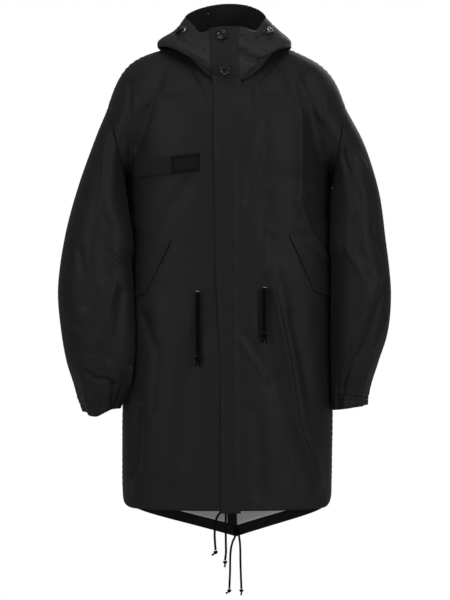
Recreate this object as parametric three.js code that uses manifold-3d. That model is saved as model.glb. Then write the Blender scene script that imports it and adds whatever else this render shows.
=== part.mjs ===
// Black hooded fishtail parka, filled out as worn, hood down. Millimetres, +Z up, front towards -Y.
// The origin is inside the neck, level with the shoulders. The wearer's right side lies on -X.
import * as THREE from 'three';
import Module from 'manifold-3d';
import { mergeVertices } from 'three/addons/utils/BufferGeometryUtils.js';

// Cloth and seams
const WALL = 2; // shell cloth with its lining
const HOOD_WALL = 1.2; // unlined
const TRIM_WALL = 1.2; // flaps, facing and patch
const SEAM_GAP = 0.3;
const LAYER_GAP = 0.3;
const TRIM_GAP = 1.1; // under trim whose edges cross the panel's facets

// Torso sections: half widths to the wearer's right and left, depth in front and behind, at a height
const TORSO = [
  { z: -1080, right: 227, left: 215, front: 156, back: 168 },
  { z: -960, right: 231, left: 217, front: 154, back: 166 },
  { z: -780, right: 231, left: 220, front: 150, back: 160 },
  { z: -600, right: 228, left: 221, front: 146, back: 154 },
  { z: -440, right: 224, left: 221, front: 145, back: 150 },
  { z: -270, right: 222, left: 218, front: 146, back: 148 },
  { z: -180, right: 222, left: 218, front: 142, back: 145 },
  { z: -110, right: 222, left: 218, front: 125, back: 133 },
  { z: -70, right: 222, left: 218, front: 108, back: 122 },
  { z: -20, right: 222, left: 218, front: 108, back: 103 },
  { z: 18, right: 222, left: 218, front: 108, back: 82 },
];
const SECTION_POWER = 2.4; // 2 is an ellipse, more is squarer

const TAIL_SHIFT = { x: 14, from: -700, to: -1050 }; // the fishtail hangs a little to the wearer's left

// Heights and shares of the pattern length from hem (0) to shoulder seam (1)
const UNDERARM_Z = -270;
const UNDERARM_SHARE = 0.7;
const NECK_SHARE = 0.85; // where the centre line meets the neck seam
const HEM = {
  front: { centre: -967, side: -967, corner: 47 }, // level, with its corner rounded up to the side seam
  back: { centre: -1052, side: -948, corner: 28 }, // one long slope to the fishtail point
};
const HEM_CORNER = { turn: 0.6, power: 2.4 };
const NECK = { side: 100, sideZ: 24, front: 108, frontZ: -70, back: 82, backZ: 18, power: 1.6 };
const ARMHOLE = {
  right: { topX: -262, topZ: -114, underX: -222, underZ: UNDERARM_Z, halfDepth: 95 },
  left: { topX: 247, topZ: -114, underX: 218, underZ: UNDERARM_Z, halfDepth: 95 },
};
const SHOULDER_SLOPE = { right: 0.35, left: 0.48 }; // share of the shoulder's fall that is even
const CHEST_BULGE = 16; // how far the chest and shoulder blades stand out between neck and armhole

// Sleeve sections from the armhole (share 0) to the cuff (share 1): outer and inner edge, middle and half depth
const SLEEVE = {
  right: [
    { share: 0, outX: -262, outZ: -114, inX: -222, inZ: -270, midY: 0, half: 95 },
    { share: 0.12, outX: -292, outZ: -191, inX: -219, inZ: -330, midY: -18, half: 97 },
    { share: 0.27, outX: -327, outZ: -295, inX: -208, inZ: -390, midY: -34, half: 94 },
    { share: 0.42, outX: -353, outZ: -398, inX: -200, inZ: -455, midY: -43, half: 90 },
    { share: 0.57, outX: -366, outZ: -501, inX: -194, inZ: -525, midY: -48, half: 86 },
    { share: 0.7, outX: -361, outZ: -580, inX: -188, inZ: -588, midY: -50, half: 82 },
    { share: 0.83, outX: -348, outZ: -656, inX: -188, inZ: -652, midY: -50, half: 76 },
    { share: 0.93, outX: -331, outZ: -707, inX: -204, inZ: -704, midY: -48, half: 66 },
    { share: 1, outX: -322, outZ: -740, inX: -222, inZ: -738, midY: -44, half: 52 },
  ],
  left: [
    { share: 0, outX: 247, outZ: -114, inX: 218, inZ: -270, midY: 0, half: 95 },
    { share: 0.12, outX: 286, outZ: -191, inX: 218, inZ: -330, midY: -16, half: 97 },
    { share: 0.27, outX: 317, outZ: -295, inX: 215, inZ: -390, midY: -32, half: 94 },
    { share: 0.42, outX: 331, outZ: -398, inX: 213, inZ: -452, midY: -42, half: 90 },
    { share: 0.57, outX: 342, outZ: -505, inX: 212, inZ: -525, midY: -46, half: 86 },
    { share: 0.7, outX: 336, outZ: -590, inX: 212, inZ: -592, midY: -47, half: 80 },
    { share: 0.83, outX: 316, outZ: -656, inX: 212, inZ: -652, midY: -47, half: 72 },
    { share: 0.93, outX: 301, outZ: -700, inX: 213, inZ: -696, midY: -46, half: 62 },
    { share: 1, outX: 293, outZ: -732, inX: 214, inZ: -728, midY: -45, half: 52 },
  ],
};
const SLEEVE_CLEAR = 4; // between the hanging sleeve and the torso
const GATHERS = 7; // waves round each gathered cuff
const CUFF = { // the lower edge hangs furthest near the outer side, by a droop
  right: { outZ: -760, inZ: -757, swell: 0.78, wave: 2.5, droop: 15 },
  left: { outZ: -750, inZ: -761, swell: 0.94, wave: 1.5, droop: 0 },
};
const CUFF_DROOP = { across: 0.35, width: 0.6 };

// Hood rings from the neck seam (share 0) down into the droop and up to the rim (share 1)
const HOOD = [
  { share: 0, midX: 0, side: 100, front: 108, back: 82, frontZ: -70, sideZ: 24, backZ: 18, power: 1.6 },
  { share: 0.06, midX: -2, side: 112, front: 110, back: 103, frontZ: -67, sideZ: 32, backZ: 7, power: 2 },
  { share: 0.14, midX: -6, side: 128, front: 113, back: 138, frontZ: -62, sideZ: 26, backZ: -33, power: 3 },
  { share: 0.34, midX: -12, side: 142.5, front: 117, back: 178, frontZ: -46, sideZ: 14, backZ: -172, power: 3.8 },
  { share: 0.46, midX: -12, side: 142.5, front: 118, back: 204, frontZ: -28, sideZ: 29, backZ: -132, power: 2.9 },
  { share: 0.74, midX: -7, side: 112, front: 108, back: 172, frontZ: 14, sideZ: 53, backZ: 20, power: 1.5 },
  { share: 1, midX: -10, side: 87, front: 98, back: 88, frontZ: 56, sideZ: 80, backZ: 121, power: 1.2 },
];
const HOOD_CENTRE_HALF = 30; // degrees either side of the back that the centre strip spans

// The largest folds: from one point to another on the front or back, ridge (+) or trough (-)
const FOLDS = [
  { face: 'front', x1: -146, z1: -50, x2: -196, z2: -205, width: 17, depth: -7 },
  { face: 'front', x1: 124, z1: -45, x2: 140, z2: -100, width: 16, depth: -6 },
  { face: 'front', x1: 160, z1: -60, x2: 196, z2: -240, width: 17, depth: -9 },
  { face: 'front', x1: 147, z1: -140, x2: 150, z2: -372, width: 14, depth: 6 },
  { face: 'front', x1: 92, z1: -466, x2: 180, z2: -905, width: 17, depth: 8 },
  { face: 'front', x1: 36, z1: -610, x2: 88, z2: -700, width: 17, depth: -5 },
  { face: 'front', x1: -197, z1: -755, x2: -203, z2: -890, width: 13, depth: -11 },
  { face: 'front', x1: -150, z1: -560, x2: -165, z2: -880, width: 24, depth: 4 },
  { face: 'back', x1: -120, z1: -150, x2: -150, z2: -430, width: 20, depth: -7 },
  { face: 'back', x1: 115, z1: -160, x2: 160, z2: -400, width: 20, depth: -7 },
  { face: 'back', x1: -95, z1: -520, x2: -150, z2: -940, width: 24, depth: 8 },
  { face: 'back', x1: 70, z1: -560, x2: 130, z2: -930, width: 24, depth: 7 },
];

// Storm flap over the closed fronts and the throat, with two snap buttons
const FLAP = { sewnX: 22, drop: 5, gap: 0.9 };
const FLAP_EDGE = [
  { z: -972, x: -20 },
  { z: -694, x: -20 },
  { z: -548, x: -26.4 },
  { z: -485, x: -29.5 },
  { z: -318, x: -32.7 },
  { z: -130, x: -35.8 },
  { z: 60, x: -37 },
];
const BUTTON = { radius: 11.5, height: 4.2, dish: 1.2, rim: 2.6, gap: 0.8 };
const BUTTONS = [
  { name: 'button_top', x: -15.5, z: 30 },
  { name: 'button_neck', x: -9.8, z: -44 },
];

// Flat trim on the fronts, its corners by the front's own x and z
const POCKET = {
  right: {
    tipHigh: [-123, -398], tipLow: [-126, -408], corner: [-177, -512], sideLow: [-209, -523], sideHigh: [-211, -461],
  },
  left: {
    tipHigh: [128, -384], tipLow: [124, -393], corner: [176, -508], sideLow: [212, -522], sideHigh: [214, -460],
  },
  cornerShare: 0.7,
};
const TAPE = { topIn: [-64, -220], topOut: [-201, -234], lowOut: [-200, -269], lowIn: [-65, -258] };

// Metal eyelets and barrel cord locks
const WAIST_EYELET = { radius: 4.6, hole: 2.3, height: 1.4 };
const WAIST_EYELETS = { right: { x: -68, z: -512 }, left: { x: 71, z: -504 } };
const HOOD_EYELET = { radius: 7.6, hole: 4.2, height: 2 };
const LOCK = { length: 24, radius: 4.2, round: 1.4, stub: 1.8, gap: 6 };
const LOCK_PLACES = {
  right: { ringAngle: -64.5, ringShare: 0.805, angle: -63, share: 0.75, slant: 0, lean: 0.6 },
  left: { ringAngle: 61, ringShare: 0.82, angle: 53, share: 0.79, slant: -28, lean: 0.3 },
};

// Cords: a braid that hangs free, by hand-placed points from its exit to its knot
const CORD = { radius: 2, sides: 8, stepLength: 12 };
const HEM_KNOT = { radius: 5, tall: 8.5, tail: 7, tailRadius: 2.4 };
const WAIST_KNOT = { radius: 7, tall: 15, tail: 10, tailRadius: 2.2 };
const FRONT_CORD_Y = -149.3; // behind the front's hem
const TAIL_CORD_Y = 161.3; // inside the facing at the fishtail's point
const STRAND_HALF = 2.2; // half the distance between the two strands of a waist cord
const HEM_CORDS = [
  {
    name: 'front_right', y: FRONT_CORD_Y, tail: [-0.8, 0, -0.6],
    points: [[-16, 0, -952], [-17.5, 0, -962], [-21, 0.5, -970], [-27.5, 1, -980], [-31, 1, -995], [-32.6, 0.5, -1013],
      [-31.8, 0, -1034], [-30.6, 0, -1049]],
  },
  {
    name: 'front_left', y: FRONT_CORD_Y, tail: [-0.1, 0, -1],
    points: [[-9, 0, -952], [-9.2, 0, -970], [-9.5, 0.5, -992], [-9.4, 0.5, -1014], [-9.2, 0, -1036], [-9, 0, -1054],
      [-10.8, 0, -1070]],
  },
  {
    name: 'tail_right', y: TAIL_CORD_Y, tail: [-0.8, 0, -0.6],
    points: [[13, 0, -1034], [12.5, 0, -1045], [10.5, -0.5, -1054], [6.5, -1, -1062], [2.5, -1, -1077],
      [0.8, -1, -1095], [0.2, 0, -1129], [-0.6, 0, -1150], [-1.4, 0, -1168]],
  },
  {
    name: 'tail_left', y: TAIL_CORD_Y, tail: [-0.1, 0, -1],
    points: [[18.6, 0, -1034], [19.6, 0, -1047], [22, -0.5, -1064], [23, -0.5, -1084], [23.2, 0, -1104],
      [24, 0, -1130], [24.8, 0, -1153], [25.4, 0, -1168]],
  },
];
const WAIST_CORDS = {
  right: [[-68, -144.3, -512], [-68, -148.4, -512.6], [-68, -152, -516], [-68, -153, -524], [-68, -152, -540],
    [-68, -150.5, -565], [-68, -150, -595], [-68, -150.5, -622], [-68, -151, -642]],
  left: [[71, -145.4, -504], [71, -149.2, -504.6], [71, -152.2, -508], [71, -153.2, -516], [71, -152.4, -532],
    [71, -151.4, -552], [71, -151.2, -575], [71, -151.4, -594]],
};

// Black facing inside the back hem and the vent, and the grey lining that shows above it
const HEM_FACING = { rise: 0.022, ventWide: 0.05 };
const LINING_RISE = 0.149;
const BAND_GAP = 0.5; // between a panel and the bands inside it
const PANEL_EDGE = { centre: 0.006, side: 0.985 };

// Grid lines: shares from the centre to the side, and rows from the hem to the shoulder
const evenly = (from, to, count) => Array.from({ length: count + 1 }, (_, i) => from + (to - from) * i / count);
const TORSO_LINES = evenly(0, 1, 13);
const TORSO_ROWS = [0, HEM_FACING.rise, ...evenly(HEM_FACING.rise, UNDERARM_SHARE, 16).slice(1),
  ...evenly(UNDERARM_SHARE, NECK_SHARE, 6).slice(1), ...evenly(NECK_SHARE, 1, 6).slice(1)];
const SLEEVE_LINES = evenly(0, 1, 12);
const SLEEVE_ROWS = evenly(0, 1, 14);
const HOOD_LINES = evenly(0, 1, 10); // the same steps round the neck seam as the panels' rows
const HOOD_CENTRE_LINES = evenly(0, 1, 4);
const HOOD_ROWS = [0, 0.06, 0.14, 0.24, 0.34, 0.4, 0.46, 0.53, 0.6, 0.67, 0.74, 0.81, 0.88, 0.94, 1];

// The part's colours
const CLOTH = new THREE.MeshStandardMaterial({ color: 0x242426, roughness: 0.6 });
const HOOD_CLOTH = new THREE.MeshStandardMaterial({ color: 0x222224, roughness: 0.6 });
const FACING_CLOTH = new THREE.MeshStandardMaterial({ color: 0x151517, roughness: 0.75 });
const TAPE_CLOTH = new THREE.MeshStandardMaterial({ color: 0x18181a, roughness: 0.9 });
const LINING_CLOTH = new THREE.MeshStandardMaterial({ color: 0xb4b5b9, roughness: 0.7 });
const SNAP_PLASTIC = new THREE.MeshStandardMaterial({ color: 0x0b0b0d, roughness: 0.15 });
const LOCK_PLASTIC = new THREE.MeshStandardMaterial({ color: 0x101012, roughness: 0.4 });
const EYELET_METAL = new THREE.MeshStandardMaterial({ color: 0xc8c9cc, roughness: 0.25, metalness: 1 });
const CORD_BRAID = new THREE.MeshStandardMaterial({ color: 0x111113, roughness: 0.8 });

const SIDES = { right: -1, left: 1 };
const FACES = { front: -1, back: 1 };
const DEG = Math.PI / 180;
const part = new THREE.Group();

// Small maths on plain [x, y, z] points
const clamp = (v, low, high) => Math.min(high, Math.max(low, v));
const mix = (a, b, t) => a + (b - a) * t;
const blend = (a, b, t) => a.map((v, i) => mix(v, b[i], t));
const add = (a, b, k = 1) => [a[0] + b[0] * k, a[1] + b[1] * k, a[2] + b[2] * k];
const cross = (a, b) => [a[1] * b[2] - a[2] * b[1], a[2] * b[0] - a[0] * b[2], a[0] * b[1] - a[1] * b[0]];
const dot = (a, b) => a[0] * b[0] + a[1] * b[1] + a[2] * b[2];
const unit = (a) => {
  const size = Math.hypot(...a) || 1;
  return [a[0] / size, a[1] / size, a[2] / size];
};
const ease = (t) => {
  const c = clamp(t, 0, 1);
  return c * c * (3 - 2 * c);
};

// A column of a table at a key, as a smooth curve through its rows
function column(table, key, name, at) {
  const last = table.length - 1;
  const k = clamp(at, table[0][key], table[last][key]);
  let i = 0;
  while (i < last - 1 && table[i + 1][key] < k) i += 1;
  const slope = (j) => {
    const a = table[Math.max(j - 1, 0)];
    const b = table[Math.min(j + 1, last)];
    return (b[name] - a[name]) / (b[key] - a[key]);
  };
  const low = table[i];
  const high = table[i + 1];
  const span = high[key] - low[key];
  const t = (k - low[key]) / span;
  const t2 = t * t;
  const t3 = t2 * t;
  return (2 * t3 - 3 * t2 + 1) * low[name] + (t3 - 2 * t2 + t) * span * slope(i)
    + (3 * t2 - 2 * t3) * high[name] + (t3 - t2) * span * slope(i + 1);
}

// Share of the half width and of the depth lost, at a share s round a quarter of a torso section
function quarter(s) {
  const sine = Math.sin(s * 90 * DEG);
  const cosine = Math.cos(s * 90 * DEG);
  const k = (Math.abs(sine) ** SECTION_POWER + Math.abs(cosine) ** SECTION_POWER) ** (-1 / SECTION_POWER);
  return [k * sine, 1 - k * cosine];
}

// How far the cloth stands out of its plain form at (x, z)
function foldDepth(face, x, z) {
  let depth = 0;
  for (const fold of FOLDS) {
    if (fold.face !== face) continue;
    const dx = fold.x2 - fold.x1;
    const dz = fold.z2 - fold.z1;
    const t = clamp(((x - fold.x1) * dx + (z - fold.z1) * dz) / (dx * dx + dz * dz), 0, 1);
    const away = Math.hypot(x - fold.x1 - dx * t, z - fold.z1 - dz * t) / fold.width;
    depth += fold.depth * Math.exp(-away * away);
  }
  return depth;
}

// A point of an armhole: angle 0 at the shoulder, 180 under the arm, positive towards the back
function armholePoint(side, angle) {
  const a = ARMHOLE[side];
  const across = Math.cos(angle * DEG);
  const midX = (a.topX + a.underX) / 2;
  const midZ = (a.topZ + a.underZ) / 2;
  return [midX + (a.topX - midX) * across, a.halfDepth * Math.sin(angle * DEG), midZ + (a.topZ - midZ) * across];
}

// The direction out of an armhole's ring, in its own plane, which both walls at the seam share
function armholeOut(side, angle) {
  const a = ARMHOLE[side];
  const up = unit([a.topX - a.underX, 0, a.topZ - a.underZ]);
  const tall = Math.hypot(a.topX - a.underX, a.topZ - a.underZ) / 2;
  return unit([up[0] * Math.cos(angle * DEG) / tall, Math.sin(angle * DEG) / a.halfDepth,
    up[2] * Math.cos(angle * DEG) / tall]);
}

// A point of the neck seam: angle 0 at the centre front, 90 at the wearer's left shoulder, 180 at the back
function neckPoint(angle) {
  const sine = Math.sin(angle * DEG);
  const cosine = Math.cos(angle * DEG);
  const depth = cosine > 0 ? NECK.front : NECK.back;
  const endZ = cosine > 0 ? NECK.frontZ : NECK.backZ;
  return [NECK.side * sine, -depth * cosine, NECK.sideZ + (endZ - NECK.sideZ) * Math.abs(cosine) ** NECK.power];
}

const neckOut = (angle) => unit([Math.sin(angle * DEG) * 0.75, -Math.cos(angle * DEG), 0.45 * Math.sin(angle * DEG) ** 2]);

// A point of the torso: share s from the centre line or neck seam to the side seam or armhole,
// share t from the hem to the shoulder seam
function torsoBase(side, face, s, t) {
  const sign = SIDES[side];
  const toFace = FACES[face];
  const [wide, lost] = quarter(s);
  if (t <= UNDERARM_SHARE) {
    const hem = HEM[face];
    const corner = hem.corner * (clamp(s - HEM_CORNER.turn, 0, 1) / (1 - HEM_CORNER.turn)) ** HEM_CORNER.power;
    const z = mix(mix(hem.centre, hem.side, s) + corner, UNDERARM_Z, t / UNDERARM_SHARE);
    const tail = face === 'back' ? TAIL_SHIFT.x * (1 - s) * ease((z - TAIL_SHIFT.from) / (TAIL_SHIFT.to - TAIL_SHIFT.from)) : 0;
    return [sign * column(TORSO, 'z', side, z) * wide + tail, toFace * column(TORSO, 'z', face, z) * (1 - lost), z];
  }
  const up = (t - UNDERARM_SHARE) / (1 - UNDERARM_SHARE);
  const neckUp = (NECK_SHARE - UNDERARM_SHARE) / (1 - UNDERARM_SHARE);
  const turn = face === 'front' ? 1 : -1;
  let start;
  if (t <= NECK_SHARE) {
    const z = mix(UNDERARM_Z, NECK[face + 'Z'], up / neckUp);
    start = [0, toFace * column(TORSO, 'z', face, z), z];
  } else {
    const round = 90 * (up - neckUp) / (1 - neckUp);
    start = neckPoint(sign * (face === 'front' ? round : 180 - round));
  }
  const end = armholePoint(side, -turn * 180 * (1 - up ** 1.3));
  const settle = ease(up / 0.5);
  const x = mix(wide, s, settle);
  const y = mix(lost, s * s, settle);
  const even = SHOULDER_SLOPE[side];
  const z = mix(s, even * s + (1 - even) * s ** 6, settle);
  const bulge = toFace * CHEST_BULGE * 4 * s * (1 - s) * Math.sin(Math.PI * up);
  return [mix(start[0], end[0], x), mix(start[1], end[1], y) + bulge, mix(start[2], end[2], z)];
}

// The unit normal of a surface of two shares, pointing the way that sign gives
function normalOf(surface, u, v, sign) {
  const step = 1e-3;
  const along = (a, b) => add(b, a, -1);
  const du = along(surface(clamp(u - step, 0, 1), v), surface(clamp(u + step, 0, 1), v));
  const dv = along(surface(u, clamp(v - step, 0, 1)), surface(u, clamp(v + step, 0, 1)));
  const n = unit(cross(du, dv));
  return [n[0] * sign, n[1] * sign, n[2] * sign];
}

// The torso with its folds, and its outward normal, which seams share with their neighbours
function torso(side, face, s, t) {
  const sign = SIDES[side] * -FACES[face];
  const plain = (u, v) => torsoBase(side, face, u, v);
  const base = plain(s, t);
  const inward = normalOf(plain, clamp(s, 0.004, 0.996), clamp(t, 0.004, 0.996), sign);
  const fade = ease((1 - s) / 0.08) * ease((1 - t) / 0.05);
  const point = add(base, inward, foldDepth(face, base[0], base[2]) * fade);
  const up = (t - UNDERARM_SHARE) / (1 - UNDERARM_SHARE);
  let out = inward;
  if (s > 0.999 && up > -0.001) {
    const ring = armholeOut(side, (face === 'front' ? -180 : 180) * (1 - clamp(up, 0, 1) ** 1.3));
    out = unit(add(ring, [SIDES[side], 0, 0], 1 - clamp(up / 0.15, 0, 1)));
  } else if (s > 0.999) {
    out = [SIDES[side], 0, 0];
  } else if (t > 0.999) {
    out = unit([inward[0], 0, inward[2]]);
  } else if (s < 0.001 && t >= NECK_SHARE - 0.001) {
    const share = clamp((t - NECK_SHARE) / (1 - NECK_SHARE), 0, 1) * 90;
    out = neckOut(SIDES[side] * (face === 'front' ? share : 180 - share));
  } else if (s < 0.001) {
    out = unit([0, inward[1], inward[2]]);
  }
  return { point, out };
}

// The shares (s, t) of the front at a given x and z
function onFront(x, z) {
  const side = x < 0 ? 'right' : 'left';
  let s = clamp(Math.abs(x) / 240, 0.02, 0.98);
  let t = z < UNDERARM_Z ? UNDERARM_SHARE * (1 - (z - UNDERARM_Z) / (HEM.front.centre - UNDERARM_Z)) : 0.75;
  const step = 1e-4;
  for (let i = 0; i < 12; i += 1) {
    const p = torsoBase(side, 'front', s, t);
    const ds = torsoBase(side, 'front', s + step, t);
    const dt = torsoBase(side, 'front', s, t + step);
    const [xs, zs] = [(ds[0] - p[0]) / step, (ds[2] - p[2]) / step];
    const [xt, zt] = [(dt[0] - p[0]) / step, (dt[2] - p[2]) / step];
    const det = xs * zt - xt * zs;
    const [ex, ez] = [x - p[0], z - p[2]];
    s = clamp(s + (ex * zt - ez * xt) / det, 0, 0.995);
    t = clamp(t + (ez * xs - ex * zs) / det, 0, 0.995);
  }
  return { side, s, t };
}

// A closed wall of cloth over a grid: outer points, inner points moved in by the wall, and the rims
function wallGeometry(surface, lines, rows, { wall = WALL, lift = 0, round = false } = {}) {
  const positions = [];
  const nu = lines.length - 1;
  const nv = rows.length - 1;
  const columns = round ? nu : nu + 1;
  for (const depth of [0, wall]) {
    for (const v of rows) {
      for (const u of lines.slice(0, columns)) {
        const { point, out } = surface(u, v);
        positions.push(...add(point, out, lift - depth));
      }
    }
  }
  const layer = columns * (nv + 1);
  const at = (i, j, inner) => inner * layer + j * columns + (i % columns);
  const index = [];
  const quad = (a, b, c, d) => index.push(a, b, c, a, c, d);
  for (let j = 0; j < nv; j += 1) {
    for (let i = 0; i < nu; i += 1) {
      quad(at(i, j, 0), at(i + 1, j, 0), at(i + 1, j + 1, 0), at(i, j + 1, 0));
      quad(at(i, j, 1), at(i, j + 1, 1), at(i + 1, j + 1, 1), at(i + 1, j, 1));
    }
  }
  for (let i = 0; i < nu; i += 1) {
    quad(at(i, 0, 0), at(i, 0, 1), at(i + 1, 0, 1), at(i + 1, 0, 0));
    quad(at(i, nv, 0), at(i + 1, nv, 0), at(i + 1, nv, 1), at(i, nv, 1));
  }
  for (let j = 0; j < nv && !round; j += 1) {
    quad(at(0, j, 0), at(0, j + 1, 0), at(0, j + 1, 1), at(0, j, 1));
    quad(at(nu, j, 0), at(nu, j, 1), at(nu, j + 1, 1), at(nu, j + 1, 0));
  }
  return facingOut(new Float32Array(positions), index);
}

// The same surface as the flat facets that a wall has between its grid lines
function faceted(surface, lines, rows) {
  const known = new Map();
  const corner = (i, j) => {
    const key = i * 1000 + j;
    if (!known.has(key)) known.set(key, surface(lines[i], rows[j]));
    return known.get(key);
  };
  const cellOf = (grid, value) => {
    let i = 0;
    while (i < grid.length - 2 && grid[i + 1] <= value) i += 1;
    return [i, clamp((value - grid[i]) / (grid[i + 1] - grid[i]), 0, 1)];
  };
  return (u, v) => {
    const [i, a] = cellOf(lines, u);
    const [j, b] = cellOf(rows, v);
    const [p, q, r, s] = [corner(i, j), corner(i + 1, j), corner(i + 1, j + 1), corner(i, j + 1)];
    const value = (name) => (a >= b
      ? add(add(p[name], add(q[name], p[name], -1), a), add(r[name], q[name], -1), b)
      : add(add(p[name], add(s[name], p[name], -1), b), add(r[name], s[name], -1), a));
    return { point: value('point'), out: value('out') };
  };
}

// The geometry with its faces turned outwards, by the sign of its volume
function facingOut(positions, index) {
  const p = (i) => positions.subarray(3 * i, 3 * i + 3);
  let volume = 0;
  for (let i = 0; i < index.length; i += 3) {
    volume += dot(p(index[i]), cross(p(index[i + 1]), p(index[i + 2])));
  }
  const faces = volume < 0 ? index.map((v, i) => index[i - (i % 3) + [0, 2, 1][i % 3]]) : index;
  const geometry = new THREE.BufferGeometry();
  geometry.setAttribute('position', new THREE.BufferAttribute(positions, 3));
  geometry.setIndex(faces);
  geometry.computeVertexNormals();
  return geometry;
}

function place(name, geometry, material) {
  const mesh = new THREE.Mesh(geometry, material);
  mesh.name = name;
  part.add(mesh);
  return mesh;
}

// Fronts and backs: each from the centre line to the side, from the hem to the shoulder seam
const SEAM_SHARE = { s: 0.0006, t: 0.00025 }; // about half a seam gap
const panels = {};
for (const face of ['front', 'back']) {
  for (const side of ['right', 'left']) {
    const panel = (u, v) => {
      const s = mix(SEAM_SHARE.s, 1 - SEAM_SHARE.s, u);
      const t = mix(0, 1 - SEAM_SHARE.t, v);
      return { point: torso(side, face, s, t).point, out: torso(side, face, u, v).out };
    };
    panels[`${face}_${side}`] = faceted(panel, TORSO_LINES, TORSO_ROWS);
    place(`${face}_${side}`, wallGeometry(panel, TORSO_LINES, TORSO_ROWS), CLOTH);
  }
}

// A sleeve point: angle 0 on the outer side, 180 against the torso, positive towards the back
function sleeveBase(side, angle, share) {
  const value = (name) => column(SLEEVE[side], 'share', name, share);
  const [outX, outZ, inX, inZ] = ['outX', 'outZ', 'inX', 'inZ'].map(value);
  const across = Math.cos(angle * DEG);
  const gather = 1 + 0.035 * ease((share - 0.8) / 0.2) * Math.cos(GATHERS * angle * DEG);
  const x = mix(inX, outX, (1 + across * gather) / 2);
  const z = mix(inZ, outZ, (1 + across) / 2);
  const y = value('midY') + value('half') * Math.sin(angle * DEG) * gather;
  return clearOfTorso(side, [x, y, z], 0.6 + SLEEVE_CLEAR * ease(share / 0.05));
}

// A point moved out of the torso's section at its height, if it lies within the clearance
function clearOfTorso(side, [x, y, z], clearance) {
  if (z > UNDERARM_Z) return [x, y, z];
  const a = column(TORSO, 'z', side, z) + clearance;
  const b = column(TORSO, 'z', y < 0 ? 'front' : 'back', z) + clearance;
  const inside = (Math.abs(x) / a) ** SECTION_POWER + (Math.abs(y) / b) ** SECTION_POWER;
  if (inside >= 1) return [x, y, z];
  const k = inside ** (-1 / SECTION_POWER);
  return [x * k, y * k, z];
}

function sleeve(side, angle, share) {
  const surface = (u, v) => sleeveBase(side, angle + (u - 0.5) * 40, v);
  const point = surface(0.5, share);
  const out = share < 0.001 ? armholeOut(side, angle) : normalOf(surface, 0.5, share, -SIDES[side]);
  return { point, out };
}

const SLEEVE_SEAM = { angle: 0.12, share: 0.0005 };
for (const side of ['right', 'left']) {
  for (const half of ['front', 'rear']) {
    const turn = half === 'front' ? -1 : 1;
    const piece = (u, v) => {
      const angle = turn * mix(SLEEVE_SEAM.angle, 180 - SLEEVE_SEAM.angle, u);
      return sleeve(side, angle, mix(SLEEVE_SEAM.share, 1, v));
    };
    place(`sleeve_${side}_${half}`, wallGeometry(piece, SLEEVE_LINES, SLEEVE_ROWS), CLOTH);
  }
}

// Cuffs: a gathered ring that goes on from the sleeve's end
for (const side of ['right', 'left']) {
  const cuff = CUFF[side];
  const last = SLEEVE[side][SLEEVE[side].length - 1];
  const midX = (last.outX + last.inX) / 2;
  const ring = (u, v) => {
    const angle = u * 360;
    const start = sleeveBase(side, angle, 1);
    const across = Math.cos(angle * DEG);
    const hang = Math.exp(-(((across - CUFF_DROOP.across) / CUFF_DROOP.width) ** 2));
    const drop = mix(cuff.inZ, cuff.outZ, (1 + across) / 2) - cuff.droop * hang;
    const swell = mix(1, cuff.swell, v);
    const wave = cuff.wave * v * Math.cos(GATHERS * angle * DEG);
    const away = unit([start[0] - midX, start[1] - last.midY, 0]);
    const x = midX + (start[0] - midX) * swell + away[0] * wave;
    const y = last.midY + (start[1] - last.midY) * swell + away[1] * wave;
    return clearOfTorso(side, [x, y, mix(start[2] - SEAM_GAP * 2, drop, v)], SLEEVE_CLEAR);
  };
  const surface = (u, v) => {
    const wrap = (a, b) => ring((a + 1) % 1, b);
    const step = 1e-3;
    const du = add(wrap(u + step, v), wrap(u - step, v), -1);
    const dv = add(ring(u, clamp(v + step, 0, 1)), ring(u, clamp(v - step, 0, 1)), -1);
    const slope = cross(du, dv);
    const n = unit(v > 0 ? slope : [slope[0], slope[1], 0]); // level where it meets the sleeve
    const point = ring(u, v);
    const faces = dot(n, [point[0] - midX, point[1] - last.midY, 0]) < 0 ? -1 : 1;
    return { point, out: [n[0] * faces, n[1] * faces, n[2] * faces] };
  };
  place(`cuff_${side}`, wallGeometry(surface, evenly(0, 1, 4 * GATHERS), evenly(0, 1, 2), { round: true }), CLOTH);
}

// A hood point: angle as on the neck seam, share from the neck seam over the droop to the rim
function hoodBase(angle, share) {
  const sine = Math.sin(angle * DEG);
  const cosine = Math.cos(angle * DEG);
  const value = (name) => column(HOOD, 'share', name, share);
  const depth = cosine > 0 ? value('front') : value('back');
  const endZ = cosine > 0 ? value('frontZ') : value('backZ');
  const sideZ = value('sideZ');
  const middle = value('midX') * (1 - Math.abs(cosine) ** 2);
  const bend = Math.abs(cosine) ** value('power');
  return [middle + value('side') * sine, -depth * cosine, sideZ + (endZ - sideZ) * bend + SEAM_GAP];
}

function hood(angle, share) {
  const surface = (u, v) => hoodBase(angle + (u - 0.5) * 40, v);
  return { point: surface(0.5, share), out: normalOf(surface, 0.5, share, 1) };
}

const HOOD_SEAM = { angle: 0.07, share: 0.001 };
const HOOD_PIECES = [
  { name: 'hood_left', from: 0, to: 180 - HOOD_CENTRE_HALF, lines: HOOD_LINES },
  { name: 'hood_centre', from: 180 - HOOD_CENTRE_HALF, to: 180 + HOOD_CENTRE_HALF, lines: HOOD_CENTRE_LINES },
  { name: 'hood_right', from: 180 + HOOD_CENTRE_HALF, to: 360, lines: HOOD_LINES },
];
for (const { name, from, to, lines } of HOOD_PIECES) {
  const piece = (u, v) => {
    const angle = mix(from + HOOD_SEAM.angle, to - HOOD_SEAM.angle, u);
    return hood(angle, mix(HOOD_SEAM.share, 1, v));
  };
  panels[name] = faceted(piece, lines, HOOD_ROWS);
  place(name, wallGeometry(piece, lines, HOOD_ROWS, { wall: HOOD_WALL }), HOOD_CLOTH);
}

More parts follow.
